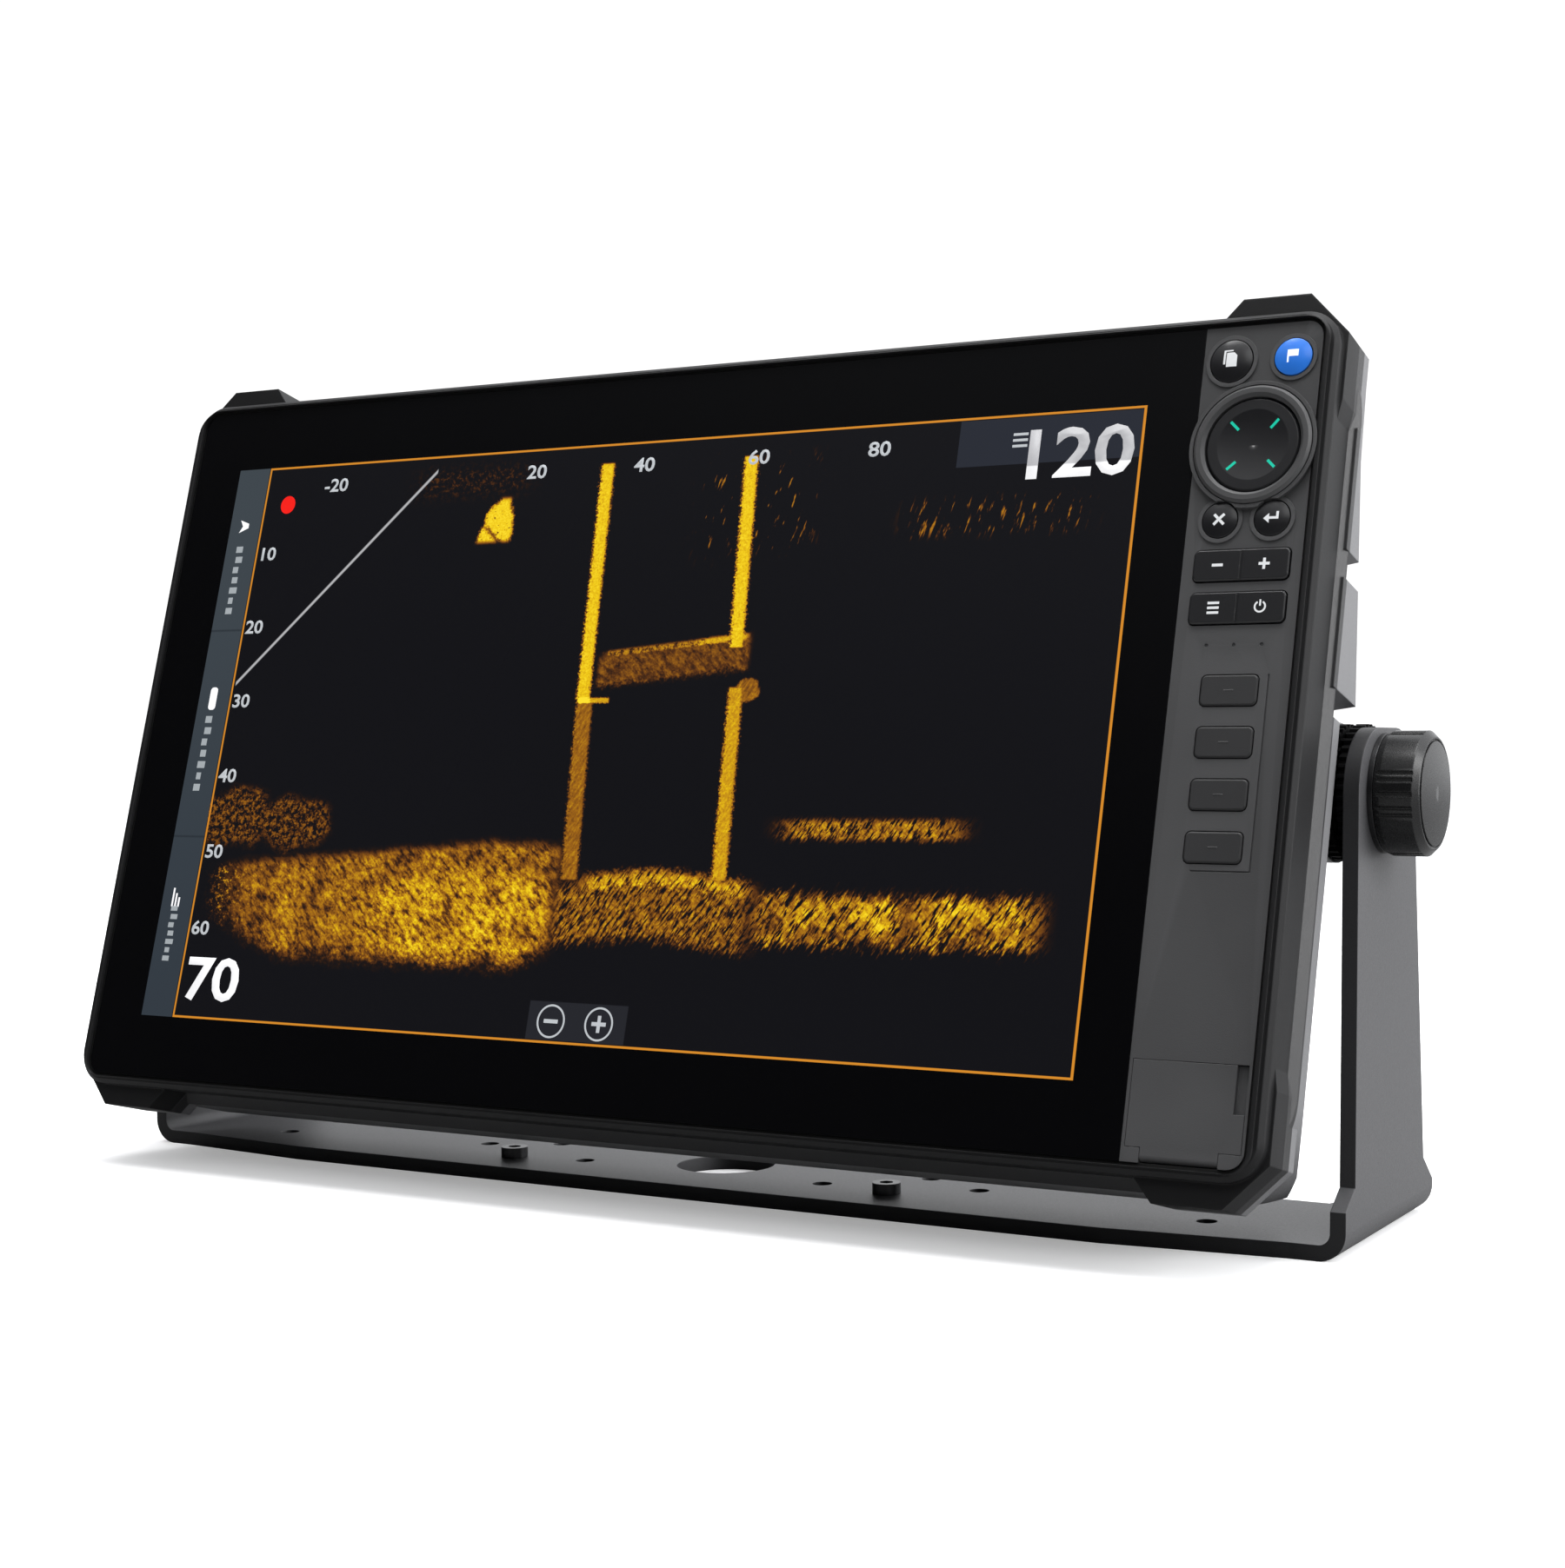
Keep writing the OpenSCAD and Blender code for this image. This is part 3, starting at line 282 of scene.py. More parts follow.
def rubber(name, colour, rough=0.75):
    """Matt elastomer with a fine even grain."""
    s = Shader(name)
    fine = s.noise(4.0, 4.0, 0.7)
    s.set(Base_Color=s.mix(fine.ramp(0.3, 0.7), shade(colour, 0.8), shade(colour, 1.2)))
    s.set(Roughness=fine * 0.15 + (rough - 0.08), Specular_IOR_Level=0.35)
    s.bump(fine, 0.4, 0.0002, 0.0003)
    return s.material


def circuit(name):
    """Solder mask over copper tracks."""
    s = Shader(name)
    lines = s.cells(0.35, feature="DISTANCE_TO_EDGE").ramp(0.06, 0.03)
    pads = s.cells(0.5).ramp(0.12, 0.08)
    base = s.mix(lines, rgb(20, 88, 52), rgb(36, 120, 70))
    s.set(Base_Color=s.mix(pads, base, rgb(176, 168, 140)), Roughness=pads * -0.15 + 0.42)
    s.bump(lines, 0.3, 0.0001)
    return s.material


def glassy(name, colour, rough, spec=0.5):
    """Smooth glossy surface with faint smudges in its roughness."""
    s = Shader(name)
    smear = s.noise(0.05, 4.0, 0.6, distort=0.4)
    s.set(Base_Color=s.mix(smear, shade(colour, 0.9), shade(colour, 1.1)))
    s.set(Roughness=smear.ramp(0.4, 0.8) * 0.05 + rough, Specular_IOR_Level=spec)
    s.bump(s.noise(0.4, 1.0), 0.02, 0.0001, 0.0003)
    return s.material


def lamp(name, colour, strength=1.0):
    """Lit mark: a glow with a slight unevenness."""
    s = Shader(name)
    glow = s.noise(0.8, 1.0) * 0.1 + 0.95
    s.set(Base_Color=(*shade(colour, 0.3), 1), Roughness=0.4)
    s.set(Emission_Color=s.mix(glow, shade(colour, 0.8), colour))
    s.set(Emission_Strength=glow * strength, Specular_IOR_Level=0.1)
    return s.material


MATERIALS = {
    # the bracket's last figure is the strength of its painted edge shade
    "bracket_paint": powder_coat("bracket_paint", rgb(78, 78, 80), 0.42, 0.64),
    "frame_plastic": moulded("frame_plastic", rgb(25, 25, 26), 0.5, edge=0.0007, spec=0.22, edge_highlight=0.35),
    "case_metal": case_coat("case_metal", rgb(120, 120, 122), rgb(46, 46, 47)),
    "cover_glass": glassy("cover_glass", (0.0025, 0.0025, 0.003), 0.06, 0.12),
    "fascia_plastic": moulded("fascia_plastic", rgb(66, 66, 67), 0.5, 3.0, 0.3, 0.0002, 0.4),
    "key_plastic": glassy("key_plastic", rgb(30, 30, 32), 0.22, 0.5),
    "key_blue": glassy("key_blue", rgb(48, 128, 236), 0.2, 0.5),
    "quick_key_rubber": moulded("quick_key_rubber", rgb(44, 44, 45), 0.55, 3.0, 0.2, 0.0003, 0.35),
    "knob_plastic": moulded("knob_plastic", rgb(18, 18, 19), 0.28, 2.6, 0.1, 0.0005, 0.42),
    "ratchet_plastic": moulded("ratchet_plastic", rgb(5, 5, 6), 0.6, 2.6, 0.2, 0.0002, 0.1),
    "seal_rubber": rubber("seal_rubber", rgb(14, 14, 14)),
    "mat_rubber": rubber("mat_rubber", rgb(120, 120, 124)),
    "screw_steel": metal("screw_steel", (0.56, 0.56, 0.58), 0.3),
    "black_steel": metal("black_steel", (0.05, 0.05, 0.052), 0.3),
    "insert_brass": metal("insert_brass", (0.70, 0.50, 0.22), 0.32),
    "sheet_aluminium": metal("sheet_aluminium", (0.72, 0.73, 0.75), 0.36, (1, 14, 1)),
    "circuit_board": circuit("circuit_board"),
    "chip_plastic": moulded("chip_plastic", rgb(34, 34, 36), 0.5, 4.0, 0.2, 0.0002),
    "panel_glass": glassy("panel_glass", rgb(28, 28, 34), 0.1, 0.4),
    "light_guide": moulded("light_guide", rgb(214, 214, 218), 0.4, 2.0, 0.1),
    "ribbon_film": glassy("ribbon_film", rgb(186, 128, 44), 0.3, 0.5),
    "thermal_silicone": rubber("thermal_silicone", rgb(150, 164, 182), 0.6),
    "socket_plastic": moulded("socket_plastic", rgb(34, 34, 36), 0.45, 2.6, 0.2, 0.0003),
}
for part in frame["record"]["subparts"]:
    obj = frame["nodes"][part["node"]]
    obj.data.materials.clear()
    obj.data.materials.append(MATERIALS[part["material_slot"]])


# ------------------------------------------------------------------ lit picture
def sonar_picture():
    """Amber returns on a near-black ground, with scale borders, in millimetres from the screen's middle."""
    s = Shader("display_picture")
    flat = s.node("ShaderNodeTexCoord").outputs["UV"]
    u, v, _ = s.parts(flat)
    soft = s.noise(0.09, 3.0, 0.6, uv=True)
    fine = s.noise(0.55, 4.0, 0.75, uv=True)
    grit = s.noise(1.3, 2.0, 0.7, uv=True)

    def leaning(angle, length, width):
        """Noise drawn out into strokes that lean right by an angle from upright."""
        tex = s.node("ShaderNodeMapping")
        tex.vector_type = "TEXTURE"
        tex.inputs["Rotation"].default_value = (0, 0, math.radians(-angle))
        tex.inputs["Scale"].default_value = (width, length, 1)
        s.tree.links.new(flat, tex.inputs["Vector"])
        n = s.node("ShaderNodeTexNoise", Vector=tex.outputs["Vector"], Scale=1.0, Detail=3.0, Roughness=0.65)
        return Field(s.tree, n.outputs["Fac"])

    streaks = leaning(32, 4.6, 0.95)
    blades = leaning(30, 9.0, 1.6)
    rain = leaning(14, 9.0, 1.5)
    rings = leaning(-50, 5.0, 1.6)
    # how far, in millimetres, an outline strays at each point, from coarse to fine
    drift = (soft - 0.5) * 16.0
    spread = (streaks - 0.5) * 16.0
    wobble = (fine - 0.5) * 7.0
    jag = (grit - 0.5) * 4.0

    def column(at_zero, slope, half, bottom, top):
        """Upright return of a half width, at a place given for v = 0."""
        d = (u - v * slope - at_zero + jag * 0.8 + wobble * 0.3).abs()
        return d.ramp(half + 0.7, half - 0.8) * v.band(bottom, top, 0.5)

    def blob(cu, cv, ru, rv, ragged):
        """Oval return with a ragged rim."""
        du, dv = (u - cu) / ru, (v - cv) / rv
        return (du * du + dv * dv + ragged * 0.11).ramp(1.2, 0.6)

    # piles: solid and bright above, broken and brown below
    upper = column(-8.8, -0.052, 2.5, 10.5, 90.2).max(column(46.6, -0.066, 2.5, 27.5, 89.5))
    upper = upper * (fine * 0.5 + 0.72)
    right_leg = column(47.6, -0.058, 2.6, -45.0, 15.0) * (streaks * 0.6 + fine * 0.4 + 0.34)
    left_leg = column(-7.9, -0.075, 3.1, -46.0, 12.5) * (streaks * 0.9 + fine * 0.5 - 0.02)
    knot = blob(51, 14, 4.5, 4, wobble * 2.0) * (streaks * 0.8)
    ledge = u.band(-11.0, 0.5, 0.5) * (v - 11.4 + jag * 0.3).abs().ramp(1.2, 0.5)
    beam_mid = u * 0.09 + 21.5
    beam = u.band(-5.5, 50.0, 1.4) * (v - beam_mid + wobble * 0.9).abs().ramp(7.0, 3.5)
    beam_lip = u.band(-3.0, 49.0, 1.5) * (v - beam_mid - 5.2 + wobble * 0.35).abs().ramp(1.8, 0.4)
    beam_lip = beam_lip * (fine.ramp(0.36, 0.56) * 0.8 + u.band(32.0, 50.0, 4.0) * 0.6).min(1.0)
    # the bottom from left to right: the bed and its clumps, the toe of the piles with a crust, the shelf
    bed_top = (u + 33.0) * 0.026 - 34.5 - (u + 33.0).abs() * 0.06
    bed_low = ((u + 70.0).abs() - 48.0).max(0.0) * 0.4 - 74.0
    bed = u.band(-150.0, -9.0, 5.0) * (v - bed_top + wobble * 0.5 + drift * 0.3).ramp(2.5, -2.0)
    bed = bed * (v - bed_low + wobble * 1.2 + drift * 0.3).ramp(-4.0, 6.0)
    bed = bed * ((rings * 0.6 + soft * 0.4).ramp(0.36, 0.5) * 0.5 + 0.5)
    bed = bed * u.ramp(-156, -128).max(fine.ramp(0.5, 0.6))
    clump = blob(-146, -28, 19, 11, wobble * 2.0 + drift * 0.9)
    clump = clump.max(blob(-119, -30, 16, 11, wobble * 2.4 - drift)) * fine.ramp(0.42, 0.62)
    toe = (v + 53.0 + (u - 26.0).abs() * 0.1 + wobble * 0.6 + spread * 0.7).abs().ramp(12.0, 7.0)
    toe = u.band(-10.0, 62.0, 6.0) * toe * streaks.ramp(0.38, 0.56)
    crust = u.band(0.0, 62.0, 6.0) * (v + 44.5 + (u - 27.0).abs() * 0.1 + wobble * 1.3).abs().ramp(4.6, 0.8)
    crust = crust * streaks.ramp(0.34, 0.52)
    shelf_mid = (u - 60.0).max(0.0) * 0.012 - 55.5
    shelf = u.band(64.0, 157.0, 6.0) * (v - shelf_mid + spread).abs().ramp(9.5, 5.0)
    shelf = shelf * (blades * 0.5 + streaks * 0.5).ramp(0.42, 0.52)
    thin = u.band(70.0, 129.0, 8.0) * (v + 29.5 - u * 0.012 + spread * 0.4).abs().ramp(4.4, 1.6)
    thin = thin * streaks.ramp(0.4, 0.54)
    # loose returns in the water
    echo_wide = (v - 66.0).ramp(14.0, 2.0) * 4.5 + 2.2
    echo = ((u + 54.0 - (v - 72.0) * 0.2 + jag * 0.9).abs() - echo_wide).ramp(1.0, -1.0)
    echo = echo * v.band(65.5, 80.5, 1.2)
    echo = echo.max(blob(-54.0, 73.0, 6.0, 6.5, wobble * 2.6)) * fine.ramp(0.3, 0.42)
    echo = echo * (v - 69.0 + (u + 57.0) * 0.9 + wobble).abs().ramp(-1.0, 2.0).max(v.ramp(69.0, 72.0))
    high = u.band(98.0, 158.0, 6.0) * (v - 66.0 + spread * 0.3).abs().ramp(8.0, 3.0) * rain.ramp(0.56, 0.66)
    high = high + u.band(24.0, 66.0, 6.0) * v.band(58.0, 88.0, 6.0) * rain.ramp(0.6, 0.68)
    haze = u.band(-90.0, -44.0, 8.0) * v.band(82.0, 92.0, 4.0) * fine.ramp(0.48, 0.62)
    specks = grit.ramp(0.74, 0.8) * v.band(-75.0, -20.0, 14.0) * soft.ramp(0.42, 0.6)

    # strength of each return, then the amber scale
    bright = upper * 0.86 + ledge * 0.7 + echo * 0.9
    bright = bright.max(right_leg * 0.8).max(left_leg * 0.66).max(beam_lip * 0.72).max(knot)
    grain = (rings * 0.55 + fine * 0.45).ramp(0.3, 0.66)
    lump = soft.ramp(0.3, 0.68)
    glow = blob(-42.0, -60.0, 44.0, 18.0, drift * 0.6)
    body = bed * (grain * (lump * 0.34 + glow * 0.16 + 0.36) + glow * 0.07 + 0.11)
    body = body.max(toe * (grain * 0.42 + 0.24)).max(crust * (grain * 0.5 + 0.4))
    body = body.max(shelf * (grain * 0.4 + lump * 0.55 + 0.1))
    dim = beam * (grain * 0.36 + 0.07) + clump * 0.42 + thin * (grain * 0.45 + 0.3)
    dim = dim + high * 0.5 + haze * 0.2 + specks * 0.25
    level = (bright.max(body).max(dim) * (grit * 0.7 + 0.65)).clamp()
    ramp = s.node("ShaderNodeValToRGB", Fac=level)
    stops = ramp.color_ramp.elements
    stops[0].color = (*rgb(13, 13, 16), 1)
    stops[1].color = (*rgb(255, 226, 46), 1)
    for place, colour in ((0.1, rgb(34, 20, 12)), (0.26, rgb(96, 54, 16)), (0.46, rgb(158, 100, 18)),
                          (0.66, rgb(206, 152, 16)), (0.84, rgb(240, 200, 16))):
        stops.new(place).color = (*colour, 1)
    picture = ramp.outputs["Color"]

    # beam limit line, border, side strip and soft boxes
    line = (v - 18.6 - (u + 156.6) * 0.991).abs().ramp(1.0, 0.3) * u.band(-156.4, -83.0, 0.2)
    picture = s.mix(line * 0.75, picture, rgb(205, 205, 208))
    inside = u.band(-157.2, 171.3, 0.06) * v.band(-96.1, 96.1, 0.06)
    outside = u.band(-157.9, 172.4, 0.06) * v.band(-97.2, 97.2, 0.06)
    picture = s.mix((outside - inside).clamp(), picture, rgb(214, 138, 40))
    strip = u.ramp(-158.0, -158.4)
    strip_col = s.mix(v.ramp(-97.0, 97.0), rgb(50, 58, 66), rgb(62, 70, 76))
    picture = s.mix(strip, picture, strip_col)
    divider = strip * ((v - 38.0).abs().min((v + 35.0).abs()).ramp(0.5, 0.2))
    picture = s.mix(divider * 0.5, picture, rgb(30, 36, 42))
    menu = u.band(112.8, 171.2, 0.1) * v.band(81.4, 95.8, 0.1)
    picture = s.mix(menu * 0.75, picture, rgb(44, 48, 58))
    buttons = u.band(-11.8, 24.6, 0.2) * v.band(-95.8, -84.0, 0.2)
    picture = s.mix(buttons, picture, rgb(36, 37, 42))
    s.set(Base_Color=(0.004, 0.004, 0.005, 1), Roughness=0.08, Specular_IOR_Level=0.12,
          Emission_Color=picture, Emission_Strength=1.0)
    return s.material


# ------------------------------------------------------------------ flat pieces
def thicken(bm, thick):
    """Turns flat faces into a closed solid that stands up from them."""
    for f in bm.faces:
        if f.normal.z < 0:
            f.normal_flip()
    top = bmesh.ops.extrude_face_region(bm, geom=list(bm.faces))
    for g in top["geom"]:
        if isinstance(g, bmesh.types.BMVert):
            g.co.z += thick
    bmesh.ops.recalc_face_normals(bm, faces=bm.faces)


def placed(bm, name, place, body, material):
    """Makes a piece of a mesh drawn in millimetres in a place's own frame."""
    bm.transform(METRES @ place)
    mesh = bpy.data.meshes.new(name)
    bm.to_mesh(mesh)
    bm.free()
    return link(name, mesh, body, material)


def filled(curve):
    """The flat mesh inside a curve."""
    maker = bpy.data.objects.new(curve.name, curve)
    bpy.context.scene.collection.objects.link(maker)
    graph = bpy.context.evaluated_depsgraph_get()
    graph.update()
    mesh = bpy.data.meshes.new_from_object(maker.evaluated_get(graph))
    bpy.data.objects.remove(maker)
    return mesh


def picture_sheet(name, outline, place, body, material):
    """Thin solid on z = 0 of a place, whose flat coordinates are its own x and y in millimetres."""
    bm = bmesh.new()
    low = [bm.verts.new((x, y, 0)) for x, y in outline]
    high = [bm.verts.new((x, y, PICTURE_THICK)) for x, y in outline]
    bm.faces.new(low[::-1])
    bm.faces.new(high)
    for i in range(len(low)):
        j = (i + 1) % len(low)
        bm.faces.new((low[i], low[j], high[j], high[i]))
    layer = bm.loops.layers.uv.new("flat")
    for f in bm.faces:
        for loop in f.loops:
            loop[layer].uv = loop.vert.co.xy
    return placed(bm, name, place, body, material)


def circle(cx, cy, r, n=40, start=0.0, turn=360.0):
    """Points of a circle, or of an arc with both its ends."""
    angles = [math.radians(start + turn * i / n) for i in range(n if turn >= 360 else n + 1)]
    return [(cx + r * math.cos(a), cy + r * math.sin(a)) for a in angles]


def rectangle(x0, x1, y0, y1, r=0.0):
    """Outline of a rectangle, with round corners where a radius is given."""
    if not r:
        return [(x0, y0), (x1, y0), (x1, y1), (x0, y1)]
    pts = []
    corners = ((x1 - r, y0 + r), (x1 - r, y1 - r), (x0 + r, y1 - r), (x0 + r, y0 + r))
    for i, (cx, cy) in enumerate(corners):
        pts += circle(cx, cy, r, 5, 90 * i - 90, 90)
    return pts


def stroke(points, width):
    """Closed outline of a line with square ends and mitred corners."""
    left, right = [], []
    for i, p in enumerate(points):
        a = Vector(points[max(i - 1, 0)])
        b = Vector(points[min(i + 1, len(points) - 1)])
        here = Vector(p)
        d1 = (here - a).normalized() if i else (b - here).normalized()
        d2 = (b - here).normalized() if i < len(points) - 1 else d1
        normal = Vector((-(d1 + d2).y, (d1 + d2).x)).normalized()
        reach = width / 2 / max(0.35, normal.dot(Vector((-d1.y, d1.x))))
        left.append(tuple(here + normal * reach))
        right.append(tuple(here - normal * reach))
    return left + right[::-1]


def ring_mark(cx, cy, r, width):
    """Outer and inner circle: a curve fill leaves the middle open."""
    return [circle(cx, cy, r + width / 2), circle(cx, cy, r - width / 2)]


MARK_THICK, FIGURE_THICK = 0.05, 0.03
FINE = 0.6  # longest edge of a mark that follows a curved surface
FIGURE_WIDTH = 1.22  # the figures are wider than the built-in font's
FONT_SIZE = 1.38  # font size for a figure height of 1


def marks(name, loops, place, body, material, surface=None):
    """Thin raised marks from closed outlines; surface(x, y) gives the height they lie on."""
    curve = bpy.data.curves.new(name, "CURVE")
    curve.dimensions = "2D"
    curve.fill_mode = "BOTH"
    for loop in loops:
        spline = curve.splines.new("POLY")
        spline.points.add(len(loop) - 1)
        for point, (x, y) in zip(spline.points, loop):
            point.co = (x, y, 0, 1)
        spline.use_cyclic_u = True
    flat = filled(curve)
    bm = bmesh.new()
    bm.from_mesh(flat)
    bpy.data.meshes.remove(flat)
    bmesh.ops.remove_doubles(bm, verts=bm.verts, dist=1e-4)
    if surface:
        for _ in range(4):
            long_edges = [e for e in bm.edges if e.calc_length() > FINE]
            if not long_edges:
                break
            bmesh.ops.subdivide_edges(bm, edges=long_edges, cuts=1)
            bmesh.ops.triangulate(bm, faces=bm.faces)
        for vert in bm.verts:
            vert.co.z = surface(vert.co.x, vert.co.y)
    thicken(bm, MARK_THICK)
    return placed(bm, name, place, body, material)


def figures(name, texts, material):
    """Generic numbers from the built-in font, on the glass: (text, x, y, height, bold)."""
    bm = bmesh.new()
    for text, x, y, height, bold in texts:
        curve = bpy.data.curves.new("figure", "FONT")
        curve.body = text
        curve.size = height * FONT_SIZE
        curve.align_x, curve.align_y = "CENTER", "CENTER"
        curve.offset = bold
        curve.resolution_u = 3
        flat = filled(curve)
        flat.transform(Matrix.Translation((x, y, 0)) @ Matrix.Diagonal((FIGURE_WIDTH, 1, 1, 1)))
        bm.from_mesh(flat)
        bpy.data.meshes.remove(flat)
    thicken(bm, FIGURE_THICK)
    return placed(bm, name, ON_GLASS, "head", material)


def glass_marks(name, loops, material):
    return marks(name, loops, ON_GLASS, "head", material)


# ------------------------------------------------------------------ the screen
picture_sheet("display_picture", rectangle(-SCREEN_W / 2, SCREEN_W / 2, -SCREEN_H / 2, SCREEN_H / 2), SCREEN,
              "head", sonar_picture())

WHITE = lamp("lit_white", rgb(236, 236, 238))
SOFT_WHITE = lamp("lit_soft_white", rgb(176, 180, 184))
STRIP_WHITE = lamp("lit_strip_white", rgb(150, 156, 160))


def dimmed_white():
    """White whose upper part is dimmed by the menu box that lies over it."""
    s = Shader("lit_white_behind_menu")
    height = s.parts(s.node("ShaderNodeTexCoord").outputs["Generated"])[2]
    shown = s.mix(height.ramp(0.26, 0.29), rgb(236, 236, 238), rgb(168, 168, 172))
    s.set(Base_Color=(0.2, 0.2, 0.2, 1), Roughness=0.4, Specular_IOR_Level=0.1, Emission_Color=shown)
    s.set(Emission_Strength=s.noise(0.8, 1.0) * 0.1 + 0.95)
    return s.material


SCALE_H, SCALE_BOLD = 4.7, 0.12
scale = [(str(10 * i), -152.6, 91.3 - 26.3 * i, SCALE_H, SCALE_BOLD) for i in range(1, 7)]
scale += [(t, x, 88.7, SCALE_H, SCALE_BOLD)
          for t, x in (("-20", -126.6), ("20", -41.6), ("40", 0.7), ("60", 43.4), ("80", 86.0))]
figures("scale_numbers", scale, SOFT_WHITE)
figures("depth_number", [("70", -143.4, -84.2, 14.4, 0.4)], WHITE)
figures("range_number", [("120", 150.6, 83.2, 15.2, 0.42)], dimmed_white())
glass_marks("menu_bars", [rectangle(130.6, 135.4, y, y + 0.8) for y in (86.6, 88.4, 90.2)], SOFT_WHITE)
glass_marks("record_dot", [circle(-147.1, 82.9, 3.2)], lamp("lit_red", rgb(226, 30, 24)))

ZOOM_Y = -90.0
ARM, HALF = 2.6, 0.6  # reach and half width of the plus and minus strokes
minus = rectangle(-ARM, ARM, -HALF, HALF)
plus = [(-ARM, -HALF), (-HALF, -HALF), (-HALF, -ARM), (HALF, -ARM), (HALF, -HALF), (ARM, -HALF),
        (ARM, HALF), (HALF, HALF), (HALF, ARM), (-HALF, ARM), (-HALF, HALF), (-ARM, HALF)]
zoom_marks = []
for x, sign in ((-3.1, minus), (14.7, plus)):
    zoom_marks += ring_mark(x, ZOOM_Y, 4.9, 0.6)
    zoom_marks.append([(x + dx, ZOOM_Y + dy) for dx, dy in sign])
glass_marks("zoom_marks", zoom_marks, SOFT_WHITE)

# side strip: a small sign and a blank bar of ticks for each of its three fields
TICKS = 7
strip_marks = []
for y, length in ((57, 26), (-5, 28), (-68, 20)):
    pitch = length / TICKS
    for i in range(TICKS):
        y0 = y - length / 2 + i * pitch
        left, right = -167.3 + 0.4 * (i % 2), -163.9 - 0.5 * ((i + 1) % 3)
        strip_marks.append(rectangle(left, right, y0, y0 + pitch * 0.6))
glass_marks("strip_ticks", strip_marks, STRIP_WHITE)
strip_signs = [[(-167.6, 73.6), (-163.6, 75.2), (-163.6, 76.8), (-167.6, 78.2), (-166.2, 75.9)],
               rectangle(-167.2, -164.0, 9.6, 17.6, 1.2),
               rectangle(-167.6, -166.9, -59.4, -53.0), rectangle(-166.2, -165.5, -59.4, -54.8),
               rectangle(-164.8, -164.1, -59.4, -56.2)]
glass_marks("strip_signs", strip_signs, WHITE)


# ------------------------------------------------------------------ key signs
LIFT = 0.01  # gap between a key and the sign printed on it


def key_sign(name, loops, x, y, body, surface, material):
    marks(name, loops, HEAD @ Matrix.Translation((x, y, 0)), body, material, surface)


def dome(top, r):
    """Crown of a round key: a ball's cap."""
    radius = 3.2 * r
    return lambda x, y: top - radius + math.sqrt(radius * radius - x * x - y * y) + LIFT


def dish(bottom, radius):
    """Hollow of the pad: the inside of a ball."""
    return lambda x, y: bottom + radius - math.sqrt(radius * radius - x * x - y * y) + LIFT


def level(z):
    return lambda x, y: z + LIFT


INK = lamp("key_sign_white", rgb(214, 216, 218), 0.9)
BRIGHT_INK = lamp("key_sign_bright", rgb(235, 242, 255))
TEAL = lamp("pad_tick_teal", rgb(30, 190, 160), 0.9)
SIGN_W = 0.8  # stroke width

front = [(-1.2, -2.0), (1.9, -2.0), (1.9, 1.3), (1.0, 2.2), (-1.2, 2.2)]
back = [(-2.1, -1.2), (-1.5, -1.2), (-1.5, 2.6), (0.6, 2.6), (0.6, 3.0), (-2.1, 3.0)]
key_sign("pages_sign", [front, back], 181.0, 107.4, "pages_button", dome(1.5, 6.2), INK)
flag = [(-1.5, -1.9), (-1.0, -1.9), (-1.0, -0.2), (1.7, -0.2), (1.7, 1.8), (-1.5, 1.8)]
key_sign("mark_sign", [flag], 199.2, 107.3, "mark_button", dome(1.5, 5.4), BRIGHT_INK)
cross = [stroke(line, SIGN_W) for line in ([(-1.5, -1.5), (1.5, 1.5)], [(-1.5, 1.5), (-0.32, 0.32)],
                                           [(0.32, -0.32), (1.5, -1.5)])]
key_sign("exit_sign", cross, 182.4, 60.4, "exit_button", dome(1.3, 5.1), INK)
arrow = [(2.1, 1.6), (1.4, 1.6), (1.4, 0.1), (-0.6, 0.1), (-0.6, 1.1), (-2.3, -0.3), (-0.6, -1.7),
         (-0.6, -0.6), (2.1, -0.6)]
key_sign("enter_sign", [arrow], 197.6, 60.4, "enter_button", dome(1.3, 5.1), INK)
plus_minus = [rectangle(-8.4, -5.2, -0.4, 0.4), stroke([(5.2, 0), (8.4, 0)], SIGN_W),
              rectangle(6.4, 7.2, 0.4, 1.6), rectangle(6.4, 7.2, -1.6, -0.4)]
key_sign("zoom_sign", plus_minus, KEY_X, 47.2, "zoom_rocker", level(0.9), INK)
bars = [rectangle(-8.5, -5.1, y - 0.35, y + 0.35) for y in (-1.4, 0, 1.4)]
power = [stroke(circle(6.8, 0, 1.5, 24, 120, 300), 0.5), rectangle(6.55, 7.05, 0.2, 2.0)]
key_sign("menu_sign", bars + power, KEY_X, 34.9, "menu_rocker", level(0.9), INK)
ticks = []
for i in range(4):
    a = math.radians(45 + 90 * i)
    ticks.append(stroke([(r * math.cos(a), r * math.sin(a)) for r in (6.6, 9.9)], SIGN_W))
key_sign("pad_ticks", ticks, KEY_X, DIAL_Y, "nav_pad", dish(0.3, 60.0), TEAL)
dash = rectangle(-1.4, 1.4, -0.2, 0.2)
for i, y in enumerate((11.5, -3.1, -17.7, -32.3), 1):
    key_sign(f"quick_key_mark_{i}", [dash], KEY_X, y, f"quick_key_{i}", level(0.5),
             MATERIALS["fascia_plastic"])


# ------------------------------------------------------------------ stage, light and camera
def pale_floor():
    """Nearly white to the camera; darker to all other rays, so it throws little light back up."""
    s = Shader("pale_floor")
    seen = s.node("ShaderNodeLightPath").outputs["Is Camera Ray"]
    s.set(Base_Color=s.mix(seen, (0.3, 0.3, 0.3), (0.93, 0.93, 0.935)))
    s.set(Roughness=0.8, Specular_IOR_Level=0.0)
    s.set(Emission_Color=(1, 1, 1, 1), Emission_Strength=Field(s.tree, seen) * 0.32)
    return s.material


bpy.ops.mesh.primitive_plane_add(size=30, location=(0, 0, 0))
floor = bpy.context.object
floor.name = "floor"
floor.data.materials.append(pale_floor())


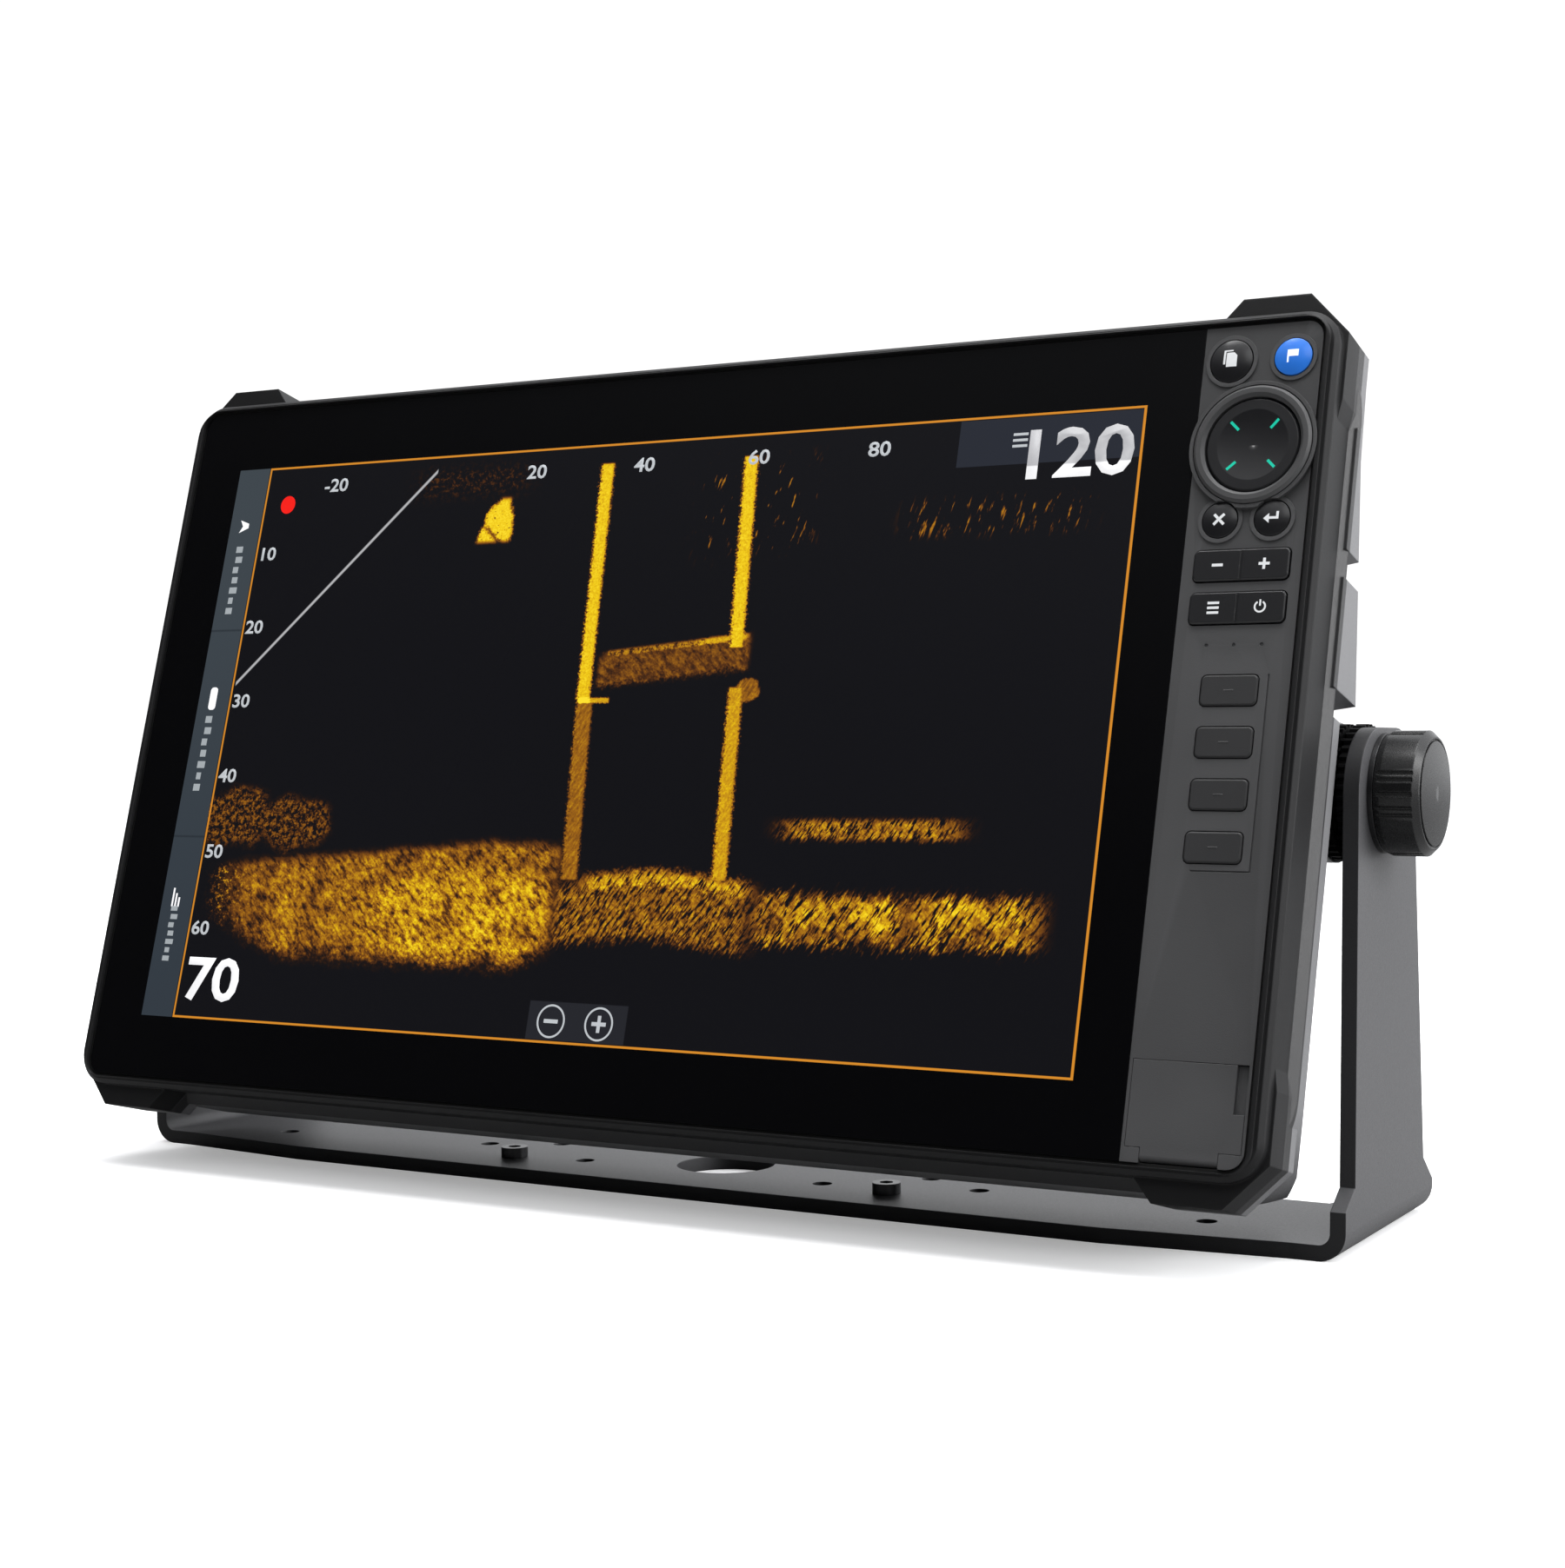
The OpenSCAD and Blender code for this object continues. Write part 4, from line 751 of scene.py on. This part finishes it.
def studio():
    """Backdrop: white to the camera; it lights from behind, above and the right, and is dark in front."""
    world = bpy.data.worlds.new("studio")
    bpy.context.scene.world = world
    world.use_nodes = True
    tree = world.node_tree
    direction = tree.nodes.new("ShaderNodeTexCoord").outputs["Generated"]

    def facing(way, lo, hi):
        """Rises from 0 to 1 for directions that turn towards way."""
        dot = tree.nodes.new("ShaderNodeVectorMath")
        dot.operation = "DOT_PRODUCT"
        dot.inputs[1].default_value = Vector(way).normalized()
        tree.links.new(direction, dot.inputs[0])
        return Field(tree, dot.outputs["Value"]).ramp(lo, hi)

    behind = facing((0.35, 0.9, 0.15), -0.1, 0.75) * 1.1
    right = facing((0.95, 0.1, 0.2), 0.3, 0.95) * 0.7
    above = facing((0, -0.1, 1), 0.45, 0.95) * 0.9
    lit = tree.nodes["Background"]
    lit.inputs["Color"].default_value = (0.97, 0.98, 1, 1)
    tree.links.new((behind + right + above + 0.05).socket, lit.inputs["Strength"])
    seen = tree.nodes.new("ShaderNodeBackground")
    seen.inputs["Color"].default_value = (1, 1, 1, 1)
    seen.inputs["Strength"].default_value = 1.1
    pick = tree.nodes.new("ShaderNodeMixShader")
    tree.links.new(tree.nodes.new("ShaderNodeLightPath").outputs["Is Camera Ray"], pick.inputs[0])
    tree.links.new(lit.outputs[0], pick.inputs[1])
    tree.links.new(seen.outputs[0], pick.inputs[2])
    tree.links.new(pick.outputs[0], tree.nodes["World Output"].inputs["Surface"])


def softbox(name, place, size, power):
    """Rectangular lamp aimed at the middle of the display; metres and watts."""
    data = bpy.data.lights.new(name, "AREA")
    data.shape = "RECTANGLE"
    data.size, data.size_y = size
    data.energy = power
    box = bpy.data.objects.new(name, data)
    bpy.context.scene.collection.objects.link(box)
    box.location = place
    box.rotation_euler = (Vector((0, 0, 0.12)) - Vector(place)).to_track_quat("-Z", "Y").to_euler()


studio()
softbox("top_light", (0.0, -0.1, 2.2), (1.8, 1.0), 44)
softbox("side_light", (2.0, 0.25, 0.8), (0.9, 1.4), 30)
softbox("front_fill", (0.7, -1.5, 1.9), (0.9, 0.9), 4)

AZIMUTH, ELEVATION = math.radians(27.27), math.radians(3.02)
level_out = math.cos(ELEVATION)
back_way = Vector((math.sin(AZIMUTH) * level_out, -math.cos(AZIMUTH) * level_out, math.sin(ELEVATION)))
camera_data = bpy.data.cameras.new("camera")
camera_data.sensor_width = 36
camera_data.lens = 54.0
camera_data.shift_x, camera_data.shift_y = -0.1121, 0.0571
camera_data.clip_start, camera_data.clip_end = 0.01, 50
camera = bpy.data.objects.new("camera", camera_data)
bpy.context.scene.collection.objects.link(camera)
camera.location = (0.41819, -0.64498, 0.14033)
camera.rotation_mode = "QUATERNION"
camera.rotation_quaternion = (-back_way).to_track_quat("-Z", "Y")
bpy.context.scene.camera = camera
bpy.context.scene.view_settings.view_transform = "Standard"
